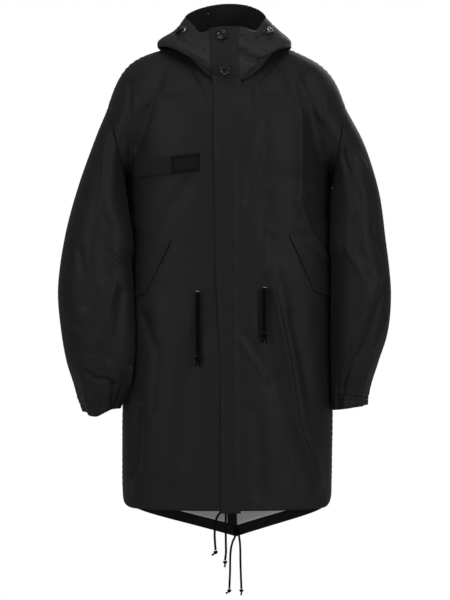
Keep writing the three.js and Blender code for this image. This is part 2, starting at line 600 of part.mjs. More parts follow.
// The facets of the hood's front at x, the wearer's right on -X
function onHood(x, share) {
  const reach = hoodBase(90, share)[0];
  const angle = Math.asin(clamp(x / reach, -1, 1)) / DEG;
  const whole = 180 - HOOD_CENTRE_HALF;
  return x < 0 ? panels.hood_right(1 + angle / whole, share) : panels.hood_left(angle / whole, share);
}

// The share of the front's width at x on one of its rows, near the centre line
function shareAcross(side, x, row) {
  let s = 0.1;
  for (let i = 0; i < 12; i += 1) {
    s = clamp(s * Math.abs(x) / Math.abs(torsoBase(side, 'front', s, row)[0]), 1e-4, 1);
  }
  return s;
}

// Storm flap: one strip over the closed fronts and the throat, free on the wearer's right.
// Its columns are the free edge, the panels' first grid lines and the centre, and the sewn edge.
const flapRows = [...TORSO_ROWS.filter((t) => t < NECK_SHARE - 1e-6), NECK_SHARE - 0.006].map((t) => t - 1);
flapRows.push(...HOOD_ROWS.slice(2));
const columnBetween = (edge) => (edge > TORSO_LINES[1] + 0.012 ? TORSO_LINES[1] : edge * 0.6);
const flapSurface = (line, row) => {
  if (row >= 0) {
    const freeX = column(FLAP_EDGE, 'z', 'x', hoodBase(-20, row)[2]);
    if (line === 1) return panels.hood_right(1 - HOOD_LINES[1], row);
    return onHood([freeX, 0, -1e-6, FLAP.sewnX / 2, FLAP.sewnX][line], row);
  }
  const t = row + 1;
  const side = line > 2 ? 'left' : 'right';
  const freeX = column(FLAP_EDGE, 'z', 'x', torsoBase('right', 'front', 0.1, t)[2]);
  const edge = side === 'right' ? shareAcross('right', freeX, t) : shareAcross('left', FLAP.sewnX, t);
  const at = panels[`front_${side}`]([edge, columnBetween(edge), 0, columnBetween(edge), edge][line], t);
  return { point: add(at.point, [0, 0, row === -1 ? -FLAP.drop : 0]), out: at.out };
};
const flapOptions = { wall: TRIM_WALL, lift: TRIM_WALL + FLAP.gap };
place('storm_flap', wallGeometry(flapSurface, [0, 1, 2, 3, 4], flapRows, flapOptions), CLOTH);

// A flat piece between two edges on the front, made from the front's points moved out
function trimOnFront(edgeLow, edgeHigh, lines, rows) {
  const surface = (u, v) => {
    const low = edgeLow(u);
    const high = edgeHigh(u);
    const { side, s, t } = onFront(mix(low[0], high[0], v), mix(low[1], high[1], v));
    return panels[`front_${side}`](s, t);
  };
  return wallGeometry(surface, lines, rows, { wall: TRIM_WALL, lift: TRIM_WALL + TRIM_GAP });
}
const between = (a, b) => (u) => [mix(a[0], b[0], u), mix(a[1], b[1], u)];

for (const side of ['right', 'left']) {
  const p = POCKET[side];
  const upper = between(p.tipHigh, p.sideHigh);
  const first = between(p.tipLow, p.corner);
  const second = between(p.corner, p.sideLow);
  const turn = POCKET.cornerShare;
  const lower = (u) => (u < turn ? first(u / turn) : second((u - turn) / (1 - turn)));
  place(`pocket_flap_${side}`, trimOnFront(lower, upper, evenly(0, 1, 10), evenly(0, 1, 5)), CLOTH);
}
const tapeLow = between(TAPE.lowIn, TAPE.lowOut);
const tapeTop = between(TAPE.topIn, TAPE.topOut);
place('chest_tape', trimOnFront(tapeLow, tapeTop, evenly(0, 1, 12), evenly(0, 1, 3)), TAPE_CLOTH);

// Facing and lining: bands on the inside of a back panel, along its own grid lines
function bandInside(side, [sFrom, sTo], [tFrom, tTo]) {
  const inner = (grid, from, to) => [from, ...grid.filter((v) => v > from + 1e-3 && v < to - 1e-3), to];
  const lines = inner(TORSO_LINES, sFrom, sTo);
  const rows = inner(TORSO_ROWS, tFrom, tTo);
  return wallGeometry(panels[`back_${side}`], lines, rows, { wall: TRIM_WALL, lift: -WALL - BAND_GAP });
}
const ventSide = 'right';
for (const side of ['right', 'left']) {
  const low = [0, HEM_FACING.rise - 0.0003];
  const high = [HEM_FACING.rise + 0.0003, LINING_RISE];
  place(`hem_facing_${side}`, bandInside(side, [PANEL_EDGE.centre, PANEL_EDGE.side], low), FACING_CLOTH);
  const start = side === ventSide ? HEM_FACING.ventWide + 0.001 : PANEL_EDGE.centre;
  place(`lining_${side}`, bandInside(side, [start, PANEL_EDGE.side], high), LINING_CLOTH);
}
const ventBand = bandInside(ventSide, [PANEL_EDGE.centre, HEM_FACING.ventWide], [HEM_FACING.rise + 0.0003, LINING_RISE]);
place('vent_facing', ventBand, FACING_CLOTH);

// Turns a geometry whose axis is +Z to stand on a point along a direction
function standOn(geometry, { point, out }, gap) {
  const turn = new THREE.Quaternion().setFromUnitVectors(new THREE.Vector3(0, 0, 1), new THREE.Vector3(...unit(out)));
  return geometry.applyQuaternion(turn).translate(...add(point, unit(out), gap));
}

// A turned ring or disc from a profile of [radius, height] points, closed on itself or on the axis
function turned(profile, segments) {
  return new THREE.LatheGeometry(profile.map(([r, h]) => new THREE.Vector2(r, h)), segments).rotateX(90 * DEG);
}

// Snap buttons: a dished cap with a raised rim
for (const { name, x, z } of BUTTONS) {
  const { radius, height, dish, rim } = BUTTON;
  const cap = turned([[0, 0], [radius * 0.9, 0], [radius, height * 0.5], [radius - rim / 2, height],
    [radius - rim * 1.6, height - dish], [0, height - dish * 1.4]], 16);
  let low = 0;
  let high = 1;
  while (high - low > 1e-6) {
    const middle = (low + high) / 2;
    if (onHood(x, middle).point[2] < z) low = middle;
    else high = middle;
  }
  place(name, standOn(cap, onHood(x, low), TRIM_WALL + FLAP.gap + BUTTON.gap), SNAP_PLASTIC);
}

function eyeletRing({ radius, hole, height }) {
  const middle = (radius + hole) / 2;
  return turned([[hole, 0], [radius, 0], [middle, height], [hole, height * 0.5], [hole, 0]], 14);
}

// Manifold solids of closed geometries, for the few pieces that are joined from two or more
const wasm = await Module();
wasm.setup();
function solid(geometry) {
  const bare = geometry.clone();
  bare.deleteAttribute('normal');
  bare.deleteAttribute('uv');
  const merged = mergeVertices(bare, 1e-4);
  const triVerts = new Uint32Array(merged.index.array);
  return new wasm.Manifold(new wasm.Mesh({ numProp: 3, vertProperties: merged.attributes.position.array, triVerts }));
}
function joined(geometries) {
  const whole = geometries.map(solid).reduce((a, b) => a.add(b)).getMesh();
  const points = new Float32Array(whole.vertProperties);
  return facingOut(points, [...whole.triVerts]);
}

// Eyelets at the waist and on the hood, and the barrel lock that hangs under each hood eyelet
for (const side of ['right', 'left']) {
  const { x, z } = WAIST_EYELETS[side];
  const front = onFront(x, z);
  const seat = panels[`front_${front.side}`](front.s, front.t);
  place(`waist_eyelet_${side}`, standOn(eyeletRing(WAIST_EYELET), seat, LAYER_GAP + 0.1), EYELET_METAL);

  const spot = LOCK_PLACES[side];
  const whole = 180 - HOOD_CENTRE_HALF;
  const hoodFacet = (angle, share) => (
    side === 'right' ? panels.hood_right(1 + angle / whole, share) : panels.hood_left(angle / whole, share));
  const ringSeat = hoodFacet(spot.ringAngle, spot.ringShare);
  place(`hood_eyelet_${side}`, standOn(eyeletRing(HOOD_EYELET), ringSeat, LAYER_GAP + 0.4), EYELET_METAL);
  const { length, radius, round } = LOCK;
  const barrel = turned([[0, -length / 2], [radius - round, -length / 2], [radius, -length / 2 + round],
    [radius, length / 2 - round], [radius - round, length / 2], [0, length / 2]], 12);
  const lockSeat = hoodFacet(spot.angle, spot.share);
  const out = unit(lockSeat.out);
  const level = unit(cross(out, [0, 0, 1]));
  const rise = unit(cross(level, out));
  const slope = Math.tan(spot.slant * DEG);
  const along = unit(add(add(level, rise, slope), out, spot.lean * SIDES[side]));
  const centre = add(lockSeat.point, out, radius + LOCK.gap);
  const body = standOn(barrel, { point: centre, out: along }, 0);
  const root = add(ringSeat.point, unit(ringSeat.out), LAYER_GAP * 2);
  const bend = add(root, unit(ringSeat.out), HOOD_EYELET.height + LOCK.stub * 2);
  const stub = (from, to) => {
    const reach = add(to, from, -1);
    const stick = new THREE.CylinderGeometry(LOCK.stub, LOCK.stub, Math.hypot(...reach), 8).rotateX(90 * DEG);
    return standOn(stick, { point: add(from, reach, 0.5), out: reach }, 0);
  };
  const cord = [stub(root, bend), stub(add(bend, unit(ringSeat.out), -LOCK.stub / 2), centre)];
  place(`cord_lock_${side}`, joined([body, ...cord]), LOCK_PLASTIC);
}

// A braid along its points, as a plain tube
function cordGeometry(points) {
  const curve = new THREE.CatmullRomCurve3(points.map((p) => new THREE.Vector3(...p)), false, 'centripetal');
  const ring = evenly(0, 2 * Math.PI, CORD.sides).slice(0, -1);
  const section = new THREE.Shape(ring.map((a) => new THREE.Vector2(CORD.radius * Math.cos(a), CORD.radius * Math.sin(a))));
  const steps = Math.max(6, Math.round(curve.getLength() / CORD.stepLength));
  return new THREE.ExtrudeGeometry(section, { steps, bevelEnabled: false, extrudePath: curve, curveSegments: 1 });
}

// An overhand knot as a round lump with its short tails, its top at a point
function knotGeometry({ radius, tall, tail, tailRadius }, top, tails) {
  const half = tall / 2;
  const centre = add(top, [0, 0, -1], half);
  const lump = new THREE.SphereGeometry(1, 10, 6).scale(radius, radius * 0.9, half).translate(...centre);
  const ends = tails.map((way) => {
    const length = half + tail;
    const stick = new THREE.CylinderGeometry(tailRadius, tailRadius, length, 6).rotateX(90 * DEG).translate(0, 0, length / 2);
    return standOn(stick, { point: centre, out: unit(way) }, 0);
  });
  return joined([lump, ...ends]);
}

for (const { name, y, tail, points } of HEM_CORDS) {
  const route = points.map((p) => add(p, [0, y, 0]));
  place(`hem_cord_${name}`, cordGeometry(route), CORD_BRAID);
  const top = add(route[route.length - 1], [0, 0, -SEAM_GAP]);
  place(`hem_knot_${name}`, knotGeometry(HEM_KNOT, top, [tail]), CORD_BRAID);
}
for (const side of ['right', 'left']) {
  const route = WAIST_CORDS[side];
  for (const [name, shift] of [['outer', SIDES[side]], ['inner', -SIDES[side]]]) {
    const strand = route.map((p) => add(p, [shift * STRAND_HALF, 0, 0]));
    place(`waist_cord_${side}_${name}`, cordGeometry(strand), CORD_BRAID);
  }
  const top = add(route[route.length - 1], [0, 0, -SEAM_GAP - 0.2]);
  place(`waist_knot_${side}`, knotGeometry(WAIST_KNOT, top, [[-0.35, -0.1, -1], [0.3, 0, -1]]), CORD_BRAID);
}

export default part;
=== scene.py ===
"""A black hooded fishtail parka, filled out as worn with the hood down, dressed for rendering.

Metres, +Z up, the front towards -Y, the wearer's right side on -X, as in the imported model.
"""

import math

import bpy
import numpy as np
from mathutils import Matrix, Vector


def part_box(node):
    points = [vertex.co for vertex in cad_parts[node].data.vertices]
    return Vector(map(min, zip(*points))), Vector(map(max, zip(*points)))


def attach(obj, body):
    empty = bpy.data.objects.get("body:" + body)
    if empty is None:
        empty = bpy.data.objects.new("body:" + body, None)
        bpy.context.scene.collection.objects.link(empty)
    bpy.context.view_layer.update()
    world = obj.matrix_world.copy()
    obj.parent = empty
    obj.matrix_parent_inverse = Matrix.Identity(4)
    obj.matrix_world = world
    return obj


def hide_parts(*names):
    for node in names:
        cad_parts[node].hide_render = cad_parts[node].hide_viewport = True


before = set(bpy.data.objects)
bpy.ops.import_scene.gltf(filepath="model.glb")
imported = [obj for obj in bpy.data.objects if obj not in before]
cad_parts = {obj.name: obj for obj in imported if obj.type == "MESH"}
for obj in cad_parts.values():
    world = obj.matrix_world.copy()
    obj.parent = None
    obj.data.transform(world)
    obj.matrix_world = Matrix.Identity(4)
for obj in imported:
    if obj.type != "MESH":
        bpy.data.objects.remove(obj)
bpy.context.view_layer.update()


# Camera, floor and studio light.
# The photograph is a straight front view from about five metres: the coat fills 1.29 m of
# height, evenly lit by large soft lights above and at both sides, on plain white.
VIEW_HEIGHT, CAMERA_AWAY = 1.29, 5.0  # metres
camera_data = bpy.data.cameras.new("camera")
camera_data.sensor_fit = "VERTICAL"
camera_data.sensor_height = 24.0
camera_data.lens = camera_data.sensor_height * CAMERA_AWAY / VIEW_HEIGHT
camera = bpy.data.objects.new("camera", camera_data)
camera.location = (-0.011, -CAMERA_AWAY, -0.527)
camera.rotation_euler = (math.radians(90), 0.0, 0.0)
bpy.context.scene.collection.objects.link(camera)
bpy.context.scene.camera = camera
bpy.context.scene.view_settings.view_transform = "Standard"


def to_linear(hex_colour):
    """An sRGB hex colour as the linear numbers that a shader reads."""
    channels = [int(hex_colour[i : i + 2], 16) / 255 for i in (1, 3, 5)]
    return [c / 12.92 if c <= 0.04045 else ((c + 0.055) / 1.055) ** 2.4 for c in channels] + [1.0]


def add_node(tree, kind, values=None, links=None, **settings):
    """One shader node, with its input values, its links from other sockets, and its settings."""
    node = tree.nodes.new(kind)
    for name, value in settings.items():
        setattr(node, name, value)
    for name, value in (values or {}).items():
        node.inputs[name].default_value = value
    for name, socket in (links or {}).items():
        tree.links.new(socket, node.inputs[name])
    return node


def white_to_camera(tree, output, lit, lit_values, glow):
    """Plain white to the camera, and a shader of its own to every other ray."""
    tree.nodes.clear()
    seen = add_node(tree, "ShaderNodeLightPath")
    own = add_node(tree, lit, lit_values)
    white = add_node(tree, glow, {"Color": to_linear("#ffffff"), "Strength": 1.0})
    both = add_node(tree, "ShaderNodeMixShader",
                    links={0: seen.outputs["Is Camera Ray"], 1: own.outputs[0], 2: white.outputs[0]})
    add_node(tree, output, links={"Surface": both.outputs[0]})


world = bpy.data.worlds.new("studio")
bpy.context.scene.world = world
world.use_nodes = True
white_to_camera(world.node_tree, "ShaderNodeOutputWorld", "ShaderNodeBackground",
                {"Color": to_linear("#ffffff"), "Strength": 0.17}, "ShaderNodeBackground")

FLOOR_Z, FLOOR_REACH = -1.45, 30  # metres: where the wearer's feet would stand, and half its width
floor_mesh = bpy.data.meshes.new("floor")
FLOOR_CORNERS = ((-1, -1), (1, -1), (1, 1), (-1, 1))
floor_mesh.from_pydata([(x * FLOOR_REACH, y * FLOOR_REACH, FLOOR_Z) for x, y in FLOOR_CORNERS],
                       [], [(0, 1, 2, 3)])
floor = bpy.data.objects.new("floor", floor_mesh)
bpy.context.scene.collection.objects.link(floor)
floor_paint = bpy.data.materials.new("white_studio_floor")
floor_paint.use_nodes = True
white_to_camera(floor_paint.node_tree, "ShaderNodeOutputMaterial", "ShaderNodeBsdfDiffuse",
                {"Color": to_linear("#dcdcdc")}, "ShaderNodeEmission")
floor_mesh.materials.append(floor_paint)

for light_name, place, aim, size, power in [
    ("top", (0.0, -0.9, 2.0), (0.0, 0.0, -0.2), 2.2, 14),
    ("key_left", (-2.4, -2.9, 0.7), (0.0, 0.0, -0.4), 1.8, 37),
    ("fill_right", (2.4, -2.9, 0.5), (0.0, 0.0, -0.5), 1.8, 41),
    ("back", (0.6, 2.8, 1.0), (0.0, 0.0, -0.4), 2.0, 35),
]:
    lamp = bpy.data.lights.new(light_name, "AREA")
    lamp.shape = "DISK"
    lamp.size = size
    lamp.energy = power
    light = bpy.data.objects.new(light_name, lamp)
    light.location = place
    away = [p - a for p, a in zip(place, aim)]
    light.rotation_euler = (math.atan2(math.hypot(away[0], away[1]), away[2]), 0.0,
                            math.atan2(away[1], away[0]) + math.pi / 2)
    bpy.context.scene.collection.objects.link(light)


# Hem and waist drawcords with their knots.
# Round braided polyester cord, 4 mm thick but drawn 4.8 mm so that its edge shows, hanging free: two
# ends below the front hem, two below the tail and a pair from each waist eyelet, all with overhand knots.
CORD_RADIUS = 0.0024


def runs_of(line):
    """Each point's distance along a line of points."""
    return np.concatenate([[0], np.cumsum(np.linalg.norm(np.diff(line, axis=0), axis=1))])


def along_at(distances, line, rows):
    """Rows of numbers, one for each point of a line, read at distances along the line."""
    return np.stack([np.interp(distances, runs_of(line), column) for column in rows.T], axis=1)


def evenly(line, count):
    """A line as points at even steps."""
    return along_at(np.linspace(0, runs_of(line)[-1], count), line, line)


def through(points, count):
    """A smooth line through points: centripetal Catmull-Rom, as many even steps as asked."""
    p = np.asarray(points, float)
    p = np.vstack([2 * p[0] - p[1], p, 2 * p[-1] - p[-2]])
    knots = np.concatenate([[0], np.cumsum(np.linalg.norm(np.diff(p, axis=0), axis=1) ** 0.5)])
    line = []
    for i in range(1, len(p) - 2):
        t = np.linspace(knots[i], knots[i + 1], 24)[:, None]

        def blend(a, b, ta, tb):
            return (tb - t) / (tb - ta) * a + (t - ta) / (tb - ta) * b

        a1 = blend(p[i - 1], p[i], knots[i - 1], knots[i])
        a2 = blend(p[i], p[i + 1], knots[i], knots[i + 1])
        a3 = blend(p[i + 1], p[i + 2], knots[i + 1], knots[i + 2])
        b1 = blend(a1, a2, knots[i - 1], knots[i + 1])
        b2 = blend(a2, a3, knots[i], knots[i + 2])
        line.append(blend(b1, b2, knots[i], knots[i + 1]))
    return evenly(np.vstack(line), count)


def unit(v):
    """Vectors at length one."""
    return v / np.maximum(np.linalg.norm(v, axis=-1, keepdims=True), 1e-12)


def put_mesh(name, points, faces, material, uv=None, node=None):
    """A piece of points and faces at the origin, with a UV pair for each point; the model's node that it stands
    for is hidden.
    """
    mesh = bpy.data.meshes.new(name)
    mesh.from_pydata(np.asarray(points, float).reshape(-1, 3).tolist(), [], faces)
    mesh.materials.append(material)
    mesh.polygons.foreach_set("use_smooth", [True] * len(mesh.polygons))
    if uv is not None:
        layer = mesh.uv_layers.new(name="cut")
        corners = np.empty(len(mesh.loops), int)
        mesh.loops.foreach_get("vertex_index", corners)
        layer.data.foreach_set("uv", np.asarray(uv, float).reshape(-1, 2)[corners].ravel())
    mesh.update()
    piece = bpy.data.objects.new(name, mesh)
    bpy.context.scene.collection.objects.link(piece)
    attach(piece, "root")
    if node:
        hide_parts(node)
    return piece


def grid_faces(rows, columns, round_about=False, flip=False):
    """Four-sided faces between neighbouring rows and columns of a grid of points."""
    j = np.arange(rows - 1)[:, None]
    i = np.arange(columns if round_about else columns - 1)[None, :]
    k = (i + 1) % columns
    quads = np.stack([j * columns + i, j * columns + k, (j + 1) * columns + k, (j + 1) * columns + i],
                     axis=-1)
    quads = quads.reshape(-1, 4)
    return (quads[:, ::-1] if flip else quads).tolist()


def tube(path, radius, sides=12):
    """A ring of points carried along a path, with its normal kept from turning, and closed ends."""
    line = np.asarray(path, float)
    along = unit(np.gradient(line, axis=0))
    across = [unit(np.cross(along[0], [0.31, 0.95, 0.05]))]
    for direction in along[1:]:
        across.append(unit(across[-1] - direction * np.dot(across[-1], direction)))
    across = np.array(across)
    third = np.cross(along, across)
    radii = np.broadcast_to(np.asarray(radius, float), (len(line),))[:, None, None]
    turn = (np.arange(sides) / sides * 2 * math.pi)[None, :, None]
    rings = line[:, None, :] + radii * (np.cos(turn) * across[:, None, :] + np.sin(turn) * third[:, None,
                                                                                                 :])
    faces = grid_faces(len(line), sides, round_about=True)
    faces.append(list(range(sides))[::-1])
    faces.append(list(range((len(line) - 1) * sides, len(line) * sides)))
    u = np.broadcast_to(np.arange(sides) / sides, (len(line), sides))
    v = np.broadcast_to(runs_of(line)[:, None] / (2 * math.pi * CORD_RADIUS), (len(line), sides))
    return rings.reshape(-1, 3), faces, np.stack([u, v], axis=-1).reshape(-1, 2)


def soft_material(name, dark, light, roughness, specular, pattern, sheen=0.0):
    """Two near colours mixed by a pattern: pattern(tree, place) gives the mix's factor and the bump."""
    material = bpy.data.materials.new(name)
    material.use_nodes = True
    tree = material.node_tree
    tree.nodes.clear()
    factor, bump = pattern(tree, add_node(tree, "ShaderNodeTexCoord").outputs)
    colour = add_node(tree, "ShaderNodeMix", {"A": to_linear(dark), "B": to_linear(light)},
                      {"Factor": factor},
                      data_type="RGBA")
    shader = add_node(tree, "ShaderNodeBsdfPrincipled",
                      {"Roughness": roughness, "Specular IOR Level": specular, "Sheen Weight": sheen,
                       "Sheen Roughness": 0.5, "Sheen Tint": to_linear("#cccccc")},
                      {"Base Color": colour.outputs["Result"], "Normal": bump.outputs[0]})
    add_node(tree, "ShaderNodeOutputMaterial", links={"Surface": shader.outputs[0]})
    return material


def braid(tree, place):
    """Black polyester braid: its crossing plaits drawn 1.5 mm wide so that they show."""
    plaits = []
    for turn in (45, -45):
        mapping = add_node(tree, "ShaderNodeMapping",
                           {"Rotation": (0, 0, math.radians(turn)), "Scale": (4, 4, 4)},
                           {"Vector": place["UV"]})
        plaits.append(add_node(tree, "ShaderNodeTexWave", {"Scale": 1.0, "Distortion": 0.4},
                               {"Vector": mapping.outputs[0]}))
    crossed = add_node(tree, "ShaderNodeMath", links={0: plaits[0].outputs["Fac"],
                                                      1: plaits[1].outputs["Fac"]},
                       operation="MULTIPLY")
    bump = add_node(tree, "ShaderNodeBump", {"Strength": 0.7, "Distance": 0.0004},
                    {"Height": crossed.outputs[0]})
    return crossed.outputs[0], bump


cord_braid = soft_material("braided_polyester_cord", "#020202", "#080809", 0.85, 0.12, braid)


def knot(name, node, top, radius, tall, tails, tail_length, tail_radius):
    """An overhand knot: a cord wound 2.3 turns round a small ring as a trefoil, with its tails below."""
    t = np.linspace(0, 2 * math.pi, 90, endpoint=False)
    wind = np.stack([np.sin(t) + 1.6 * np.sin(2 * t), -np.sin(3 * t), np.cos(t) - 1.6 * np.cos(2 * t)],
                    axis=1)
    thick = radius * 0.42
    wind = wind / np.array([2.6, 1.0, 2.6]) * np.array([radius - thick, (radius - thick) * 0.75,
                                                        tall / 2 - thick])
    centre = np.array(top) + [0, 0, -tall / 2]
    ring, ring_faces, ring_uv = tube(np.vstack([wind, wind[:1]]) + centre, thick, 10)
    points, faces, uv = [ring], list(ring_faces), [ring_uv]
    for way in tails:
        way = unit(np.array(way, float))
        side = unit(np.cross(way, [0, 1, 0]))
        reach = tall * 0.35 + tail_length
        line = centre + np.linspace(0, 1, 12)[:, None] * way * reach
        line = line + side * (np.sin(np.linspace(0, math.pi, 12)) * tail_length * 0.08)[:, None]
        swell = tail_radius * (0.85 + 0.3 * np.linspace(0, 1, 12) ** 3)
        stick, stick_faces, stick_uv = tube(line, swell, 10)
        count = sum(len(p) for p in points)
        faces += [[i + count for i in face] for face in stick_faces]
        points.append(stick)
        uv.append(stick_uv)
    return put_mesh(name, np.vstack(points), faces, cord_braid, np.vstack(uv), node)


def hang_cord(name, route, node):
    """A cord along its route's points."""
    line = through(route, 60)
    points, faces, uv = tube(line, CORD_RADIUS)
    piece = put_mesh(name, points, faces, cord_braid, uv, node)


FRONT_HEM_Y = -149.3
TAIL_HEM_Y = 161.3
hem_cords = {  # x, y off the hem's own y, z in millimetres
    "front_right": (FRONT_HEM_Y, (-0.8, 0, -0.6), [
        (-16, 0, -952), (-17.5, 0, -962), (-21, 0.5, -970), (-27.5, 1, -980), (-31, 1, -995),
        (-32.6, 0.5, -1013), (-31.8, 0, -1034), (-30.6, 0, -1049)]),
    "front_left": (FRONT_HEM_Y, (-0.1, 0, -1), [
        (-9, 0, -952), (-9.2, 0, -970), (-9.5, 0.5, -992), (-9.4, 0.5, -1014), (-9.2, 0, -1036),
        (-9, 0, -1054), (-10.8, 0, -1070)]),
    "tail_right": (TAIL_HEM_Y, (-0.8, 0, -0.6), [
        (13, 0, -1034), (12.5, 0, -1045), (10.5, -0.5, -1054), (6.5, -1, -1062), (2.5, -1, -1077),
        (0.8, -1, -1095), (0.2, 0, -1129), (-0.6, 0, -1150), (-1.4, 0, -1168)]),
    "tail_left": (TAIL_HEM_Y, (-0.1, 0, -1), [
        (18.6, 0, -1034), (19.6, 0, -1047), (22, -0.5, -1064), (23, -0.5, -1084), (23.2, 0, -1104),
        (24, 0, -1130), (24.8, 0, -1153), (25.4, 0, -1168)]),
}
for cord_name, (hem_y, tail_way, spots) in hem_cords.items():
    route = np.array(spots, float) / 1000 + [0, hem_y / 1000, 0]
    end = knot(f"hem_knot_braid_{cord_name}", f"hem_knot_{cord_name}", route[-1], 0.005, 0.0085, [tail_way],
               0.007, 0.002)
    hang_cord(f"hem_cord_braid_{cord_name}", route, f"hem_cord_{cord_name}")

waist_cords = {
    "right": (-1, [(-68, -144.3, -512), (-68, -148.4, -512.6), (-68, -152, -516), (-68, -153, -524),
                   (-68, -152, -540), (-68, -150.5, -565), (-68, -150, -595), (-68, -150.5, -622),
                   (-68, -151, -642)]),
    "left": (1, [(71, -145.4, -504), (71, -149.2, -504.6), (71, -152.2, -508), (71, -153.2, -516),
                 (71, -152.4, -532), (71, -151.4, -552), (71, -151.2, -575), (71, -151.4, -594)]),
}
for side, (sign, spots) in waist_cords.items():
    route = np.array(spots, float) / 1000
    end = knot(f"waist_knot_braid_{side}", f"waist_knot_{side}", route[-1], 0.0072, 0.0155,
               [(-0.35, -0.1, -1), (0.3, 0, -1)], 0.010, 0.0021)
    for strand, shift in (("outer", sign), ("inner", -sign)):
        hang_cord(f"waist_cord_braid_{side}_{strand}", route + [shift * 0.0022, 0, 0],
                  f"waist_cord_{side}_{strand}")


# Fronts and backs of the shell.
# Stiff black cotton and nylon cloth, cut as two fronts and two backs that meet at the shoulder and side
# seams, sewn with lapped seams; the backs run down into the long fishtail with its centre vent.
SIGNS = {"right": -1, "left": 1}
TO_FACE = {"front": -1, "back": 1}
UNDERARM_Z, UNDERARM_T = -270, 0.7  # mm, and the share of a panel's rows below it
SECTION_POWER = 2.4
HEM = {"front": (-967, -967, 47), "back": (-1052, -948, 28)}  # mm: centre, side, and the corner's rise
ARMHOLE_DEPTH = 95
TORSO_COLUMNS = {"right": 1, "left": 2, "front": 3, "back": 4}
TORSO = np.array([  # height, half width to the wearer's right and left, depth in front and behind, mm
    (-1080, 227, 215, 156, 168), (-960, 231, 217, 154, 166), (-780, 231, 220, 150, 160),
    (-600, 228, 221, 146, 154), (-440, 224, 221, 145, 150), (-270, 222, 218, 146, 148),
    (-180, 222, 218, 142, 145), (-110, 222, 218, 125, 133), (-70, 222, 218, 108, 122),
    (-20, 222, 218, 108, 103), (18, 222, 218, 108, 82)], float)
NECK = {"side": 100, "side_z": 24, "front": 108, "front_z": -70, "back": 82, "back_z": 18}
ARMHOLE = {"right": ((-262, -114), (-222, -270)), "left": ((247, -114), (218, -270))}


def ease(t):
    """0 to 1 with a level start and end: 3t^2 - 2t^3."""
    t = np.clip(t, 0, 1)
    return t * t * (3 - 2 * t)


def mix(a, b, t):
    return a + (b - a) * t


def smooth_column(table, column, at):
    """A table's column at a key: a cubic Hermite curve, each row's slope taken from its neighbours."""
    keys, values = table[:, 0], table[:, column]
    at = np.clip(at, keys[0], keys[-1])
    i = np.clip(np.searchsorted(keys, at) - 1, 0, len(keys) - 2)
    slope = np.empty(len(keys))
    slope[1:-1] = (values[2:] - values[:-2]) / (keys[2:] - keys[:-2])
    slope[0] = (values[1] - values[0]) / (keys[1] - keys[0])
    slope[-1] = (values[-1] - values[-2]) / (keys[-1] - keys[-2])
    span = keys[i + 1] - keys[i]
    t = (at - keys[i]) / span
    return ((2 * t**3 - 3 * t**2 + 1) * values[i] + (t**3 - 2 * t**2 + t) * span * slope[i]
            + (3 * t**2 - 2 * t**3) * values[i + 1] + (t**3 - t**2) * span * slope[i + 1])


def armhole_point(side, angle):
    """The armhole's ellipse: angle 0 at the shoulder, 180 under the arm, behind at +90."""
    (top_x, top_z), (low_x, low_z) = ARMHOLE[side]
    across, turn = np.cos(np.radians(angle)), np.sin(np.radians(angle))
    middle = ((top_x + low_x) / 2, (top_z + low_z) / 2)
    return np.stack([middle[0] + (top_x - middle[0]) * across, ARMHOLE_DEPTH * turn,
                     middle[1] + (top_z - middle[1]) * across], axis=-1)


def neck_point(angle):
    """The neck seam: an oval whose height is side_z + (end_z - side_z)|cos|^1.6; 0 in front, 180 behind."""
    across, along = np.sin(np.radians(angle)), np.cos(np.radians(angle))
    depth = np.where(along > 0, NECK["front"], NECK["back"])
    end_z = np.where(along > 0, NECK["front_z"], NECK["back_z"])
    return np.stack([NECK["side"] * across, -depth * along,
                     NECK["side_z"] + (end_z - NECK["side_z"]) * np.abs(along) ** 1.6], axis=-1)


def torso_form(side, face, s, t):
    """A plain point of the torso, mm. Up to the underarm a superellipse quarter at each height; above it,
    rows that run from the centre line or neck seam out to the armhole."""
    sign, to_face = SIGNS[side], TO_FACE[face]
    s, t = np.broadcast_arrays(np.asarray(s, float), np.asarray(t, float))
    sine, cosine = np.sin(s * math.pi / 2), np.cos(s * math.pi / 2)
    k = (np.abs(sine) ** SECTION_POWER + np.abs(cosine) ** SECTION_POWER) ** (-1 / SECTION_POWER)
    wide, lost = k * sine, 1 - k * cosine
    centre, at_side, corner = HEM[face]
    hem = mix(centre, at_side, s) + corner * (np.clip(s - 0.6, 0, 1) / 0.4) ** 2.4
    z = mix(hem, UNDERARM_Z, np.minimum(t / UNDERARM_T, 1))
    tail = 14 * (1 - s) * ease((z + 700) / -350) if face == "back" else 0
    low = np.stack([sign * smooth_column(TORSO, TORSO_COLUMNS[side], z) * wide + tail,
                    to_face * smooth_column(TORSO, TORSO_COLUMNS[face], z) * (1 - lost), z], axis=-1)
    up = np.clip((t - UNDERARM_T) / (1 - UNDERARM_T), 0, 1)
    line_z = mix(UNDERARM_Z, NECK[face + "_z"], np.minimum(up / 0.5, 1))
    line = np.stack([np.zeros_like(up), to_face * smooth_column(TORSO, TORSO_COLUMNS[face], line_z),
                     line_z],
                    axis=-1)
    round_neck = 90 * np.clip((up - 0.5) / 0.5, 0, 1)
    neck = neck_point(sign * (round_neck if face == "front" else 180 - round_neck))
    start = np.where((up <= 0.5)[..., None], line, neck)
    end = armhole_point(side, to_face * 180 * (1 - up**1.3))
    settle = ease(up / 0.5)
    even = 0.35 if side == "right" else 0.48
    shares = np.stack([mix(wide, s, settle), mix(lost, s * s, settle),
                       mix(s, even * s + (1 - even) * s**6, settle)], axis=-1)
    high = mix(start, end, shares)
    high[..., 1] += to_face * 16 * 4 * s * (1 - s) * np.sin(math.pi * up)
    return np.where((t <= UNDERARM_T)[..., None], low, high)


